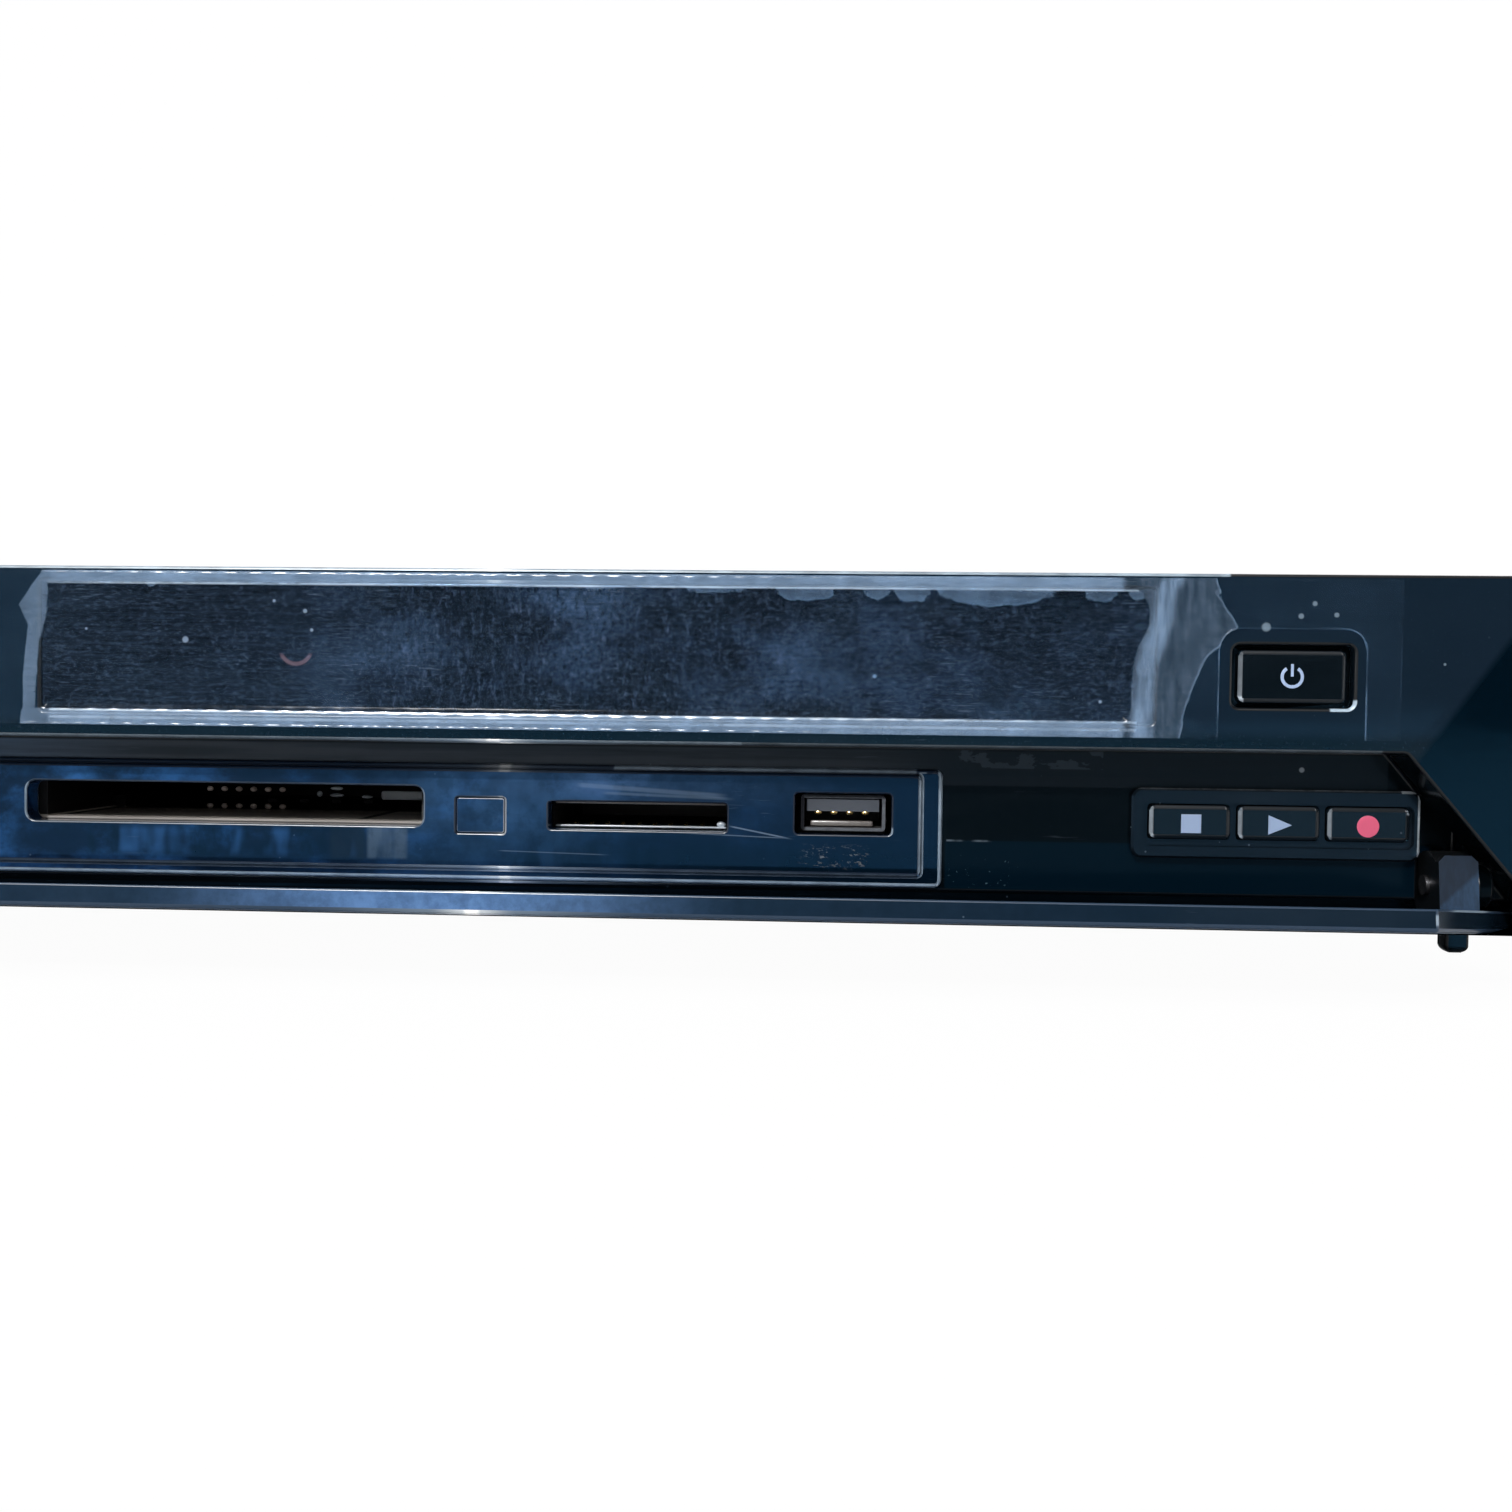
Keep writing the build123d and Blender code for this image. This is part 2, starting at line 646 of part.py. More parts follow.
def main_board_edges():
    """The main board's edges: beside the drive, right, beside the disk and the supply board, then in depth."""
    beside_disk = disk_x - disk_size[0] / 2 - 8.0
    across_edges = (drive_x + drive_width / 2 + 6.0, panel_x[1] - 2.0, beside_disk, power_board_x[1] + 7.0)
    depth_edges = (floor_reach + 0.7, disk_depth - 10.0, drive_front + drive_length + 4.0, rear_inner - 11.0)
    return across_edges, depth_edges


def main_board_outline():
    """Outline of the main board seen from above: it passes in front of the disk and behind the drive."""
    (drive_side, right, disk_side, left), (front, step, drive_end, back) = main_board_edges()
    return Polyline(
        (drive_side, front), (right, front), (right, step), (disk_side, step),
        (disk_side, back), (left, back), (left, drive_end), (drive_side, drive_end), close=True,
    )


def main_board_posts():
    """Posts near the main board's corners: x and depth."""
    (drive_side, right, disk_side, left), (_, step, _, back) = main_board_edges()
    near, middle, far = bezel_depth + 10.0, step + 48.0, back - 20.0
    drive_side, right, disk_side, left = drive_side + 6.0, right - 6.0, disk_side - 6.0, left + 6.0
    front_posts = [(drive_side, near), (right, near), (right, step - 6.0)]
    return front_posts + [(drive_side, middle), (disk_side, middle), (disk_side, far), (left, far)]


def power_board_posts():
    (left, right), (near, far) = power_board_x, power_board_depth
    return [(x, y) for x in (left + 6, right - 6) for y in (near + 6, far - 6)]


def drive_rests():
    dx, ends = drive_width / 2 - 8.0, (drive_front + 10, drive_front + drive_length - 10)
    return [(drive_x + s * dx, y) for s in (-1, 1) for y in ends]


def main_board():
    return lying(make_face(main_board_outline()), board_z, board_top)


def power_board():
    """Supply board with its two upright heat plates."""
    plate = block(power_board_x, power_board_depth, (board_z, board_top))
    middle = sum(power_board_depth) / 2
    sheet_x, length, height = heat_plate
    for x in (power_board_x[0] + heat_plate_sides[0], power_board_x[1] - heat_plate_sides[1]):
        y = about(middle, length)
        plate = plate + block((x, x + sheet_x), y, (board_top, board_top + height))
    return plate


def transformer():
    """Wound core: a cross-shaped winding between two core halves."""
    w, d, h = transformer_size
    x, y = power_board_x[1] - transformer_side, sum(power_board_depth) / 2
    core = block(about(x, w), (y - d / 2 + 5, y + d / 2 - 5), (board_top, board_top + h))
    winding = block(about(x, w - 12), about(y, d), (board_top + 3, board_top + h - 3))
    return chamfer(core.edges().filter_by(Axis.Y), 1.0) + winding


def power_capacitors():
    """Round capacitors standing on the supply board, the mains one largest."""
    (left, right), (near, far) = power_board_x, power_board_depth
    corner = small_can[0] + 2.0
    places = [
        (main_can, left + 28.0, near + 16.0),
        (small_can, right - corner, near + corner),
        (small_can, right - corner, near + 2.5 * corner),
        (small_can, left + 38.0, far - corner),
    ]
    cans = []
    for (radius, height), x, y in places:
        can = upright(radius, x, y, board_top, board_top + height)
        cans.append(chamfer(can.edges().group_by(Axis.Z)[-1], 0.6))
    return cans


def board_chips():
    """Main processor, memory chips and flat-cable connectors on the main board."""
    chips = [standing((chip_size, chip_size, chip_height), sink_x, sink_depth, board_top)]
    for k in range(4):
        y = sink_depth + memory_pitch * (k - 1.5)
        chips.append(standing(memory_chip, sink_x - memory_side, y, board_top))
    for cable in (front_cable, drive_cable):
        y = (cable[2], cable[2] + plug_depth)
        chips.append(block(plug_x(cable), y, (board_top, board_top + plug_height)))
    return chips


def heat_sink():
    """Finned block on the processor."""
    w, d, h = sink_size
    low = board_top + chip_height
    sink = standing((w, d, sink_base), sink_x, sink_depth, low)
    pitch = (w - sink_fin) / (sink_fins - 1)
    for k in range(sink_fins):
        x = sink_x - (w - sink_fin) / 2 + pitch * k
        sink = sink + standing((sink_fin, d, h - sink_base), x, sink_depth, low + sink_base)
    return sink


def card_reader():
    """Cage of the card reader: a flat box open at the front, with two guide ramps and a stop at the back."""
    w, d, h = card_cage
    cw, cd, ch = card_cavity
    near = wall_back + guide_play
    z = board_top
    foot_near = floor_reach + 0.7
    cage = block(about(card_x, w), (near, near + d), (z, z + h))
    mid = z + h / 2
    cage = cage - block(about(card_x, cw), (near - 1, near + cd), about(mid, ch))
    for side in (-1, 1):
        x = card_x + side * (cw / 2 - 1.0)
        cage = cage + block((x - 1.0, x + 1.0), (near + 22, near + cd), (mid - ch / 2, mid - ch / 2 + 2.0))
    for k in range(4):
        x = card_x - 9.0 + 6.0 * k
        cage = cage + block((x - 0.8, x + 0.8), (near + 40, near + 46), (mid - ch / 2, mid - ch / 2 + 0.6))
    return cage - block((-unit_width, unit_width), (0, foot_near), (0, z - 0.01))


def sd_socket():
    """Pressed shell for a memory card, open at the front."""
    w, d, wall = sd_shell
    near = wall_back + guide_play
    iw, ih = sd_slot
    low = sd_z - ih / 2
    outer = block(about(sd_x, w), (near, near + d), (board_top, sd_z + ih / 2 + wall))
    return outer - block(about(sd_x, iw), (near - 1, near + d - 2), (low, low + ih))


def usb_socket():
    """Pressed USB shell with its tongue, on a block that lifts it off the board."""
    w, d, h, wall = usb_shell
    near = wall_back - 1.0
    low = usb_z - h / 2
    x = about(usb_x, w)
    shell = block(x, (near, near + d), (low, low + h))
    shell = fillet(shell.edges().filter_by(Axis.Y), 0.6)
    shell = shell - block(about(usb_x, w - 2 * wall), (near - 1, near + d - 1.5), (low + wall, low + h - wall))
    tongue = block((usb_x - 5.5, usb_x + 5.5), (near + 1.0, near + d - 1), (usb_z + 0.2, usb_z + 2.0))
    seat = block(x, (floor_reach + 0.7, near + d), (board_top, low))
    return shell + tongue + seat


def drive_channel(side):
    """A C-shaped rail that traps one edge of the tray."""
    edge = tray_width / 2
    wall = drive_width / 2 - drive_wall
    inner = edge - guide_lip + guide_play
    low, high = tray_z - guide_play, tray_top + guide_play
    outline = Polyline(
        (wall, low - 2), (inner, low - 2), (inner, low), (edge + guide_play, low),
        (edge + guide_play, high), (inner, high), (inner, high + 1.6), (wall, high + 1.6), close=True,
    )
    rail = facing(make_face(outline), drive_front, drive_front + drive_length - drive_wall)
    rail = rail if side > 0 else mirror(rail, about=Plane.YZ)
    return Pos(drive_x, 0, 0) * rail


def drive_chassis():
    """Moulded drive frame: open box with tray rails, gear posts, ears for the traverse, a motor hole."""
    half = drive_width / 2
    x = (drive_x - half, drive_x + half)
    y = (drive_front, drive_front + drive_length)
    body = block(x, y, (drive_base_z, drive_top_z))
    floor = drive_base_z + drive_base
    inside = about(drive_x, drive_width - 2 * drive_wall)
    body = body - block(inside, (y[0] - 1, y[1] - drive_wall), (floor, drive_top_z + 1))
    gap = traverse_width / 2 + 3.0
    body = body - block(about(drive_x, 2 * gap), (traverse_front - 2, traverse_back + 4), (0, floor + 1))
    body = body + [drive_channel(-1), drive_channel(1)]
    posts = [
        upright(gear_post_radius, px, py, floor, gear_z + gear_thickness)
        for px, py in ((tray_gear_x, gear_depth), (pinion_x, pinion_depth))
    ]
    ears = [
        block(
            (drive_x + s * (gap + 2.5) - 2, drive_x + s * (gap + 2.5) + 2),
            (traverse_pivot_depth - 5, traverse_pivot_depth + 5),
            (floor, tray_z - 0.4),
        )
        for s in (-1, 1)
    ]
    hole_x = about(drive_x, drive_width - 12)
    bearing = along_width(trunnion_radius + running_play, traverse_pivot_depth, traverse_pivot_z, *hole_x)
    body = body + posts + [ear - bearing for ear in ears]
    return body - upright(motor_radius + 0.2, motor_x, motor_depth, 0, floor + 1)


def drive_cover():
    """Sheet lid over the drive, with the round hole that holds the disc clamp."""
    half = drive_width / 2 + sheet
    x = (drive_x - half, drive_x + half)
    lid = channel(x, (drive_front, drive_front + drive_length), drive_top_z - 8, drive_top_z + sheet, sheet)
    return lid - upright(clamp_hole_radius, drive_x, disc_depth, drive_top_z - 1, drive_top_z + 2)


def disc_clamp():
    """Round clamp that hangs by its rim in the lid, hollow below for the hub."""
    top, bore, roof = drive_top_z + sheet, hub_radius + 1.5, clamp_bottom + 2.5
    outline = Polyline(
        (0, top + 1.4), (clamp_flange_radius, top + 1.4), (clamp_flange_radius, top), (clamp_radius, top),
        (clamp_radius, clamp_bottom), (bore, clamp_bottom), (bore, roof), (0, roof), close=True,
    )
    return Pos(drive_x, disc_depth, 0) * revolve(Plane.XZ * make_face(outline), Axis.Z)


def disc_tray():
    """Tray plate with recesses for both disc sizes, a slot for turntable and pickup, and its rack."""
    half = tray_width / 2
    outline = rounded(tray_width, tray_length, drive_x, tray_depth + tray_length / 2, 3.0)
    plate = lying(outline, tray_z, tray_top)
    front = block((drive_x - half, drive_x + half), (tray_depth, tray_depth + 6), (tray_z, tray_top))
    plate = plate + front
    recesses = ((disc_recess_radius, disc_recess_depth), (small_recess_radius, small_recess_depth))
    for radius, depth in recesses:
        plate = plate - upright(radius, drive_x, disc_depth, tray_top - depth, tray_top + 1)
    slot_y = (disc_depth - tray_slot[0], disc_depth + tray_slot[1])
    slot = rounded(tray_slot_width, slot_y[1] - slot_y[0], drive_x, sum(slot_y) / 2, 5.0)
    plate = plate - lying(slot, tray_z - 1, tray_top + 1)
    return plate + tray_rack()


def tray_rack():
    """Straight rack under the tray: flanks at the pressure angle, thinned by the backlash."""
    pitch = pi * module_size
    lean = tan(radians(pressure_angle))
    tip, root = module_size, 1.25 * module_size
    half = pitch / 4 - backlash
    back = rack_line_x - root - rack_back
    points = []
    count = int((tray_length - 14.0) / pitch)
    first = gear_depth + pitch / 2 - 2 * pitch
    for k in range(count):
        middle = first + k * pitch
        points += [
            (rack_line_x - root, middle - half - root * lean),
            (rack_line_x + tip, middle - half + tip * lean),
            (rack_line_x + tip, middle + half - tip * lean),
            (rack_line_x - root, middle + half + root * lean),
        ]
    low, high = points[0][1], points[-1][1]
    outline = Polyline(*points, (back, high), (back, low), close=True)
    return lying(make_face(outline), tray_z - rack_height, tray_z)


def tray_front():
    """Front plate of the tray, with rounded corners."""
    w, h, t = tray_front_size
    plate = facing(rounded(w, h, drive_x, tray_opening_z, 1.0), tray_front_depth, tray_front_depth + t)
    return chamfer(plate.edges().group_by(Axis.Y)[0], 0.35)


def involute(angle):
    return tan(angle) - angle


def gear_outline(teeth, turn=0.0):
    """Spur gear outline: involute flanks between the base and tip circles, one tooth's middle at the turn."""
    pitch = module_size * teeth / 2
    base = pitch * cos(radians(pressure_angle))
    tip, root = pitch + module_size, pitch - 1.25 * module_size
    half = pi / (2 * teeth) - backlash / pitch
    reference = involute(radians(pressure_angle))
    radii = [max(base, root), pitch - module_size * 0.35, pitch, pitch + module_size * 0.5, tip]
    flank = [(r, half + reference - involute(acos(min(1.0, base / r)))) for r in radii]
    if base > root:
        flank.insert(0, (root, flank[0][1]))
    points = []
    for k in range(teeth):
        middle = radians(turn) + 2 * pi * k / teeth
        points += [(r * cos(middle - a), r * sin(middle - a)) for r, a in flank]
        points += [(r * cos(middle + a), r * sin(middle + a)) for r, a in reversed(flank)]
    return make_face(Polyline(*points, close=True))


def tray_gear():
    """Gear between the pulley's pinion and the tray's rack."""
    gear = lying(gear_outline(tray_gear_teeth), gear_z, gear_z + gear_thickness)
    gear = gear - upright(gear_post_radius + running_play, 0, 0, 0, unit_height)
    return Pos(tray_gear_x, gear_depth, 0) * gear


def pulley_gear():
    """Belt pulley with the pinion moulded on top."""
    turn = 180 + mesh_angle
    pinion = lying(gear_outline(pinion_teeth, turn), gear_z, gear_z + gear_thickness)
    groove = belt_section / 2
    middle = pulley_z + pulley_thickness / 2
    wheel = upright(pulley_radius, 0, 0, pulley_z, gear_z)
    ring = upright(pulley_radius + 1, 0, 0, middle - groove, middle + groove)
    ring = ring - upright(pulley_radius - belt_section, 0, 0, middle - groove, middle + groove)
    wheel = wheel + pinion - ring - upright(gear_post_radius + running_play, 0, 0, 0, unit_height)
    return Pos(pinion_x, pinion_depth, 0) * wheel


def motor_pulley():
    """Small grooved pulley on the loading motor's shaft."""
    groove = belt_section / 2
    middle = pulley_z + pulley_thickness / 2
    wheel = upright(motor_pulley_radius, 0, 0, pulley_z, pulley_z + pulley_thickness)
    ring = upright(motor_pulley_radius + 1, 0, 0, middle - groove, middle + groove)
    ring = ring - upright(motor_pulley_radius - belt_section, 0, 0, middle - groove, middle + groove)
    wheel = wheel - ring - upright(shaft_radius + running_play, 0, 0, 0, unit_height)
    return Pos(motor_x, motor_depth, 0) * wheel


def loading_motor():
    """Flat motor let into the drive's floor, with its shaft."""
    low = drive_base_z - 0.4
    can = upright(motor_radius, motor_x, motor_depth, low, low + motor_height)
    can = chamfer(can.edges().group_by(Axis.Z)[-1], 0.8)
    shaft_top = pulley_z + pulley_thickness - 0.1
    return can + upright(shaft_radius, motor_x, motor_depth, low + motor_height, shaft_top)


def loading_belt():
    """Square belt round both pulleys: two arcs joined by the two outer tangents."""
    play = running_play
    big, small = pulley_radius - belt_section + play, motor_pulley_radius - belt_section + play
    dx, dy = motor_x - pinion_x, motor_depth - pinion_depth
    distance = sqrt(dx * dx + dy * dy)
    outer = belt_loop(big + belt_section - 2 * play, small + belt_section - 2 * play, distance)
    loop = outer - belt_loop(big, small, distance)
    middle = pulley_z + pulley_thickness / 2
    half = belt_section / 2 - play
    turn = degrees(asin(dy / distance))
    return Pos(pinion_x, pinion_depth, 0) * Rot(0, 0, turn) * lying(loop, middle - half, middle + half)


def belt_loop(big, small, distance):
    """The outline that a tight string makes round two circles on the x axis."""
    lean = asin((big - small) / distance)
    points = [
        (big * sin(lean), big * cos(lean)),
        (distance + small * sin(lean), small * cos(lean)),
        (distance + small * sin(lean), -small * cos(lean)),
        (big * sin(lean), -big * cos(lean)),
    ]
    return make_face(Polyline(*points, close=True)) + Circle(big) + Pos(distance, 0) * Circle(small)


def traverse_frame():
    """Flat frame under the disc, with a window for the pickup and a trunnion at each side of its back."""
    half = traverse_width / 2
    z = (traverse_z, traverse_z + traverse_thickness)
    y_mid = (traverse_front + traverse_back) / 2
    outline = rounded(traverse_width, traverse_back - traverse_front, drive_x, y_mid, 4.0)
    frame = lying(outline, *z)
    left, right, near, far = traverse_window
    frame = frame - block((drive_x + left, drive_x + right), (near, far), (0, unit_height))
    frame = frame - upright(spindle_radius + 0.2, drive_x, disc_depth, 0, unit_height)
    pins = along_width(
        trunnion_radius,
        traverse_pivot_depth,
        traverse_pivot_z,
        drive_x - half - trunnion_length,
        drive_x + half + trunnion_length,
    )
    across = block((drive_x - half + 2, drive_x + half - 2), (0, body_depth), (0, unit_height))
    frame = frame + (pins - across)
    for x in (drive_x - rod_spread, drive_x + rod_spread):
        frame = frame - along_depth(rod_radius, x, rod_z, near - 5, far + 5)
    screw_hole = along_depth(rod_radius + running_play, drive_x + screw_offset, rod_z, near - 5, body_depth)
    return lowered(frame - screw_hole)


def guide_rods():
    left, right, near, far = traverse_window
    places = about(drive_x, 2 * rod_spread)
    return [lowered(along_depth(rod_radius, x, rod_z, near - 5, far + 5)) for x in places]


def spindle_motor():
    """Flat motor let into the frame from above, with its shaft."""
    frame_top = traverse_z + traverse_thickness
    can = upright(spindle_radius, drive_x, disc_depth, traverse_z - 0.8, frame_top)
    flange = upright(spindle_flange_radius, drive_x, disc_depth, frame_top, frame_top + 0.8)
    shaft_top = turntable_z() + turntable_thickness + hub_height - 0.5
    shaft = upright(shaft_radius, drive_x, disc_depth, frame_top, shaft_top)
    return lowered(can + flange + shaft)


def turntable_z():
    return traverse_z + traverse_thickness + 1.3


def turntable():
    """Disc table with its centring hub, a cone rounded at the top."""
    z = turntable_z()
    top = z + turntable_thickness
    bore = shaft_radius + running_play
    outline = Polyline(
        (bore, z), (turntable_radius, z), (turntable_radius, top), (hub_radius, top),
        (hub_radius, top + hub_height * 0.45), (hub_radius - 1.6, top + hub_height), (bore, top + hub_height),
        close=True,
    )
    table = revolve(Plane.XZ * make_face(outline), Axis.Z)
    claw = block((hub_radius - 0.9, hub_radius + 0.15), (-1.2, 1.2), (top, top + 0.9))
    for k in range(3):
        table = table + Rot(0, 0, 120 * k) * claw
    return lowered(Pos(drive_x, disc_depth, 0) * table)


def pickup_middle():
    return disc_depth + pickup_rest


def pickup_head():
    """Pickup on its two rods, with an arm to the lead screw and a window for the lens."""
    w, d, h = pickup_size
    y = (pickup_middle() - d / 2, pickup_middle() + d / 2)
    z = (pickup_bottom, pickup_bottom + h)
    body = block(about(drive_x, w), y, z)
    body = chamfer(body.edges().filter_by(Axis.Z), 3.0)
    rod_low, rod_high = rod_z - rod_radius - 1.2, rod_z + rod_radius + 1.2
    reach = rod_spread + rod_radius + 0.9
    arms_y = (pickup_middle() - d / 2 + 3.5, pickup_middle() + d / 2 - 3.5)
    body = body + block((drive_x - reach, drive_x + reach), arms_y, (rod_low, rod_high))
    nut_x = (drive_x + rod_spread, drive_x + screw_offset + rod_radius + 0.8)
    body = body + block(nut_x, (pickup_middle() - 4, pickup_middle() + 4), (rod_low, rod_z))
    for x in (-rod_spread, rod_spread, screw_offset):
        play = running_play if x != screw_offset else 2 * running_play
        body = body - along_depth(rod_radius + play, drive_x + x, rod_z, y[0] - 1, y[1] + 1)
    return lowered(body)


def pickup_lens():
    """Objective lens on its holder, standing on the pickup."""
    top = pickup_bottom + pickup_size[2]
    holder = upright(lens_radius + 1.6, drive_x, pickup_middle(), top, top + lens_height * 0.6)
    dome = upright(lens_radius, drive_x, pickup_middle(), top, top + lens_height)
    return lowered(holder + chamfer(dome.edges().group_by(Axis.Z)[-1], 0.4))


def lead_screw():
    """Lead screw between the frame's end bars."""
    near = traverse_window[2]
    return lowered(along_depth(rod_radius, drive_x + screw_offset, rod_z, near - 4.5, traverse_back))


def sled_motor():
    """Stepping motor at the back of the frame, in line with the lead screw."""
    x = drive_x + screw_offset
    can = along_depth(sled_motor_radius, x, rod_z, traverse_back + 0.05, traverse_back + sled_motor_length)
    rise = (traverse_back + sled_motor_length - traverse_pivot_depth) * sin(radians(traverse_tilt))
    limit = block((x - 10, x + 10), (traverse_back - 1, body_depth), (0, tray_z - guide_play - rise))
    return lowered(can & limit)


def hard_drive():
    """Hard disk: cast body with a stepped lid and a chamfered nose, and its board below."""
    w, d, h = disk_size
    outline = rounded(w, d, disk_x, disk_depth + d / 2, 3.0)
    body = lying(outline, disk_z + 2.0, disk_top - 2.0)
    lid = lying(rounded(w - 6, d - 6, disk_x, disk_depth + d / 2, 6.0), disk_top - 2.0, disk_top)
    under = lying(rounded(w - 12, d - 50, disk_x, disk_depth + d / 2 + 18, 2.0), disk_z, disk_z + 2.0)
    rail_y = (disk_depth + 4, disk_depth + d - 4)
    rails = [block(about(x, 6), rail_y, (disk_z, disk_z + 2)) for x in about(disk_x, w - 6)]
    return body + lid + under + rails


def hard_drive_bracket():
    """Folded tray that carries the disk, with four feet down to the chassis."""
    w, d = disk_size[0] / 2 + case_gap + bracket_sheet, disk_size[1]
    x = (disk_x - w, disk_x + w)
    y = (disk_depth + 6, disk_depth + d - 6)
    low = disk_z - bracket_sheet
    tray = block(x, y, (low, disk_z + bracket_side))
    inside = about(disk_x, 2 * (w - bracket_sheet))
    tray = tray - block(inside, (y[0] - 1, y[1] + 1), (disk_z, unit_height))
    tray = tray - block((x[0] + 16, x[1] - 16), (y[0] + 14, y[1] - 14), (0, unit_height))
    feet = [
        block((disk_x + s * (w - 6) - 5, disk_x + s * (w - 6) + 5), (yy - 4, yy + 4), (floor_top, low))
        for s in (-1, 1)
        for yy in (y[0] + 7, y[1] - 7)
    ]
    return tray + feet


def fan_limits():
    return rear_inner - fan_thickness, rear_inner


def fan_frame():
    """Square fan frame with a round throat and three arms to the motor boss."""
    near, far = fan_limits()
    frame = facing(rounded(fan_size, fan_size, fan_x, fan_z, 3.0), near, far)
    frame = frame - along_depth(fan_bore, fan_x, fan_z, near - 1, far + 1)
    boss = along_depth(fan_hub - 1, fan_x, fan_z, far - 2.0, far)
    arms = boss
    for k in range(3):
        arm = Pos(fan_bore / 2, 0, 0) * Box(fan_bore + 1, 2.0, 2.4)
        arms = arms + Pos(fan_x, far - 1.0, fan_z) * Rot(0, 120 * k + 90, 0) * arm
    axle = along_depth(shaft_radius, fan_x, fan_z, near + 3.0, far - 2.0)
    return frame + arms + axle


def fan_rotor():
    """Rotor: a cup-shaped hub and swept blades, each lofted from its root to its tip."""
    near, far = fan_limits()
    back = far - 2.0 - fan_play
    hub = along_depth(fan_hub, 0, 0, near + 0.8, back)
    hub = chamfer(hub.edges().group_by(Axis.Y)[0], 1.0)
    hub = hub - along_depth(shaft_radius + running_play, 0, 0, near + 2.8, far)
    depth = back - near - 1.6
    middle = (near + 0.8 + back) / 2
    blade = fan_blade(depth).moved(Location((0, middle, 0)))
    rotor = hub
    for k in range(fan_blades):
        rotor = rotor + Rot(0, 360 / fan_blades * k, 0) * blade
    return Pos(fan_x, 0, fan_z) * rotor


def fan_blade(depth):
    """One blade: a thin slanted strip at the hub lofted to a flatter one near the throat."""
    sections = []
    for radius, twist in ((fan_hub - 0.8, 42.0), (fan_bore - fan_play, 58.0)):
        plane = Plane(origin=(radius, 0, 0), x_dir=(0, 1, 0), z_dir=(1, 0, 0))
        strip = Rot(0, 0, twist) * Rectangle(depth / cos(radians(twist)) * 0.94, 0.9)
        sections.append(plane * strip)
    return loft(sections)


def fan_grille():
    """Ring-shaped slots of the fan's outlet in the rear panel, cut into quarters."""
    ring_width, web = 3.4, 1.6
    cuts = []
    for k in range(3):
        inner = 4.0 + k * (ring_width + web)
        ring = Circle(inner + ring_width) - Circle(inner)
        ring = ring - Rectangle(3.0, fan_size) - Rectangle(fan_size, 3.0)
        cuts.append(facing(Pos(fan_x, fan_z) * ring, rear_inner - 1, body_depth + 1))
    return cuts


def aerial_centres():
    return [aerial_x + aerial_pitch * k for k in range(aerial_count)]


def av_centres():
    return [av_x + av_pitch * k for k in range(av_count)]


def connector_cutouts():
    """Openings in the rear panel for each connector, a little larger than what passes through."""
    play = case_gap
    through = (rear_inner - 1, body_depth + 1)
    cuts = [along_depth(aerial_nut_radius + play, x, aerial_z, *through) for x in aerial_centres()]
    cuts += [along_depth(av_radius + 1.0 + play, x, av_z, *through) for x in av_centres()]
    for x, size in ((network_x, network_size), (hdmi_x, hdmi_size), (optical_x, optical_size)):
        w, _, h = size
        cuts.append(
            block(
                (x - w / 2 - play, x + w / 2 + play),
                (rear_inner - 1, body_depth + 1),
                (board_top - play, board_top + h + play),
            )
        )
    w, _, h = inlet_size
    hole = rounded(w + 2 * play, h + 2 * play, inlet_x, inlet_z, 3.0)
    return cuts + [facing(hole, rear_inner - 1, body_depth + 1)]


def rear_panel():
    """Steel back plate with its connector openings, the fan outlet and a flange under the cover."""
    high = cover_top - sheet - case_gap
    plate = block((-inner_x, inner_x), (rear_inner, body_depth), (base_z, high))
    flange = block((-inner_x, inner_x), (rear_inner - 8.0, rear_inner), (high - sheet, high))
    panel = plate + flange
    return panel - fan_grille() - connector_cutouts() - rear_screw_holes(screw_radius + screw_play)


def tuner_box():
    """Screened tuner box with threaded aerial connectors that pass through the rear panel."""
    x = aerial_centres()
    side = (x[0] - tuner_side, x[-1] + tuner_side)
    box = block(side, (rear_inner - tuner_length, rear_inner), (board_top, board_top + tuner_height))
    box = chamfer(box.edges().group_by(Axis.Z)[-1], 0.5)
    for centre in x:
        nut = along_depth(aerial_nut_radius, centre, aerial_z, rear_inner, body_depth + aerial_nut)
        thread = along_depth(aerial_radius, centre, aerial_z, body_depth + aerial_nut, body_depth + rear_reach)
        bore = along_depth(aerial_bore, centre, aerial_z, body_depth + 2, body_depth + rear_reach + 1)
        box = box + nut + thread - bore
    return box


def av_jacks():
    """Row of round audio and video jacks on one block."""
    x = av_centres()
    body = block((x[0] - 6.5, x[-1] + 6.5), (rear_inner - 13.0, rear_inner), (board_top, av_z + 7.0))
    for centre in x:
        collar = along_depth(av_radius + 1.0, centre, av_z, rear_inner, body_depth + 1.0)
        barrel = along_depth(av_radius, centre, av_z, body_depth + 1.0, body_depth + av_length)
        bore = along_depth(av_bore, centre, av_z, body_depth - 4, body_depth + av_length + 1)
        body = body + collar + barrel - bore
    return body


def network_socket():
    """Network socket with its stepped opening."""
    w, d, h = network_size
    hw, hh = network_hole
    body = block(about(network_x, w), (body_depth - d, body_depth), (board_top, board_top + h))
    low = board_top + 2.0
    cavity = block(about(network_x, hw), (body_depth - 13, body_depth + 1), (low, low + hh))
    latch = block((network_x - 3, network_x + 3), (body_depth - 13, body_depth + 1), (low + hh, low + hh + 1.6))
    return body - cavity - latch


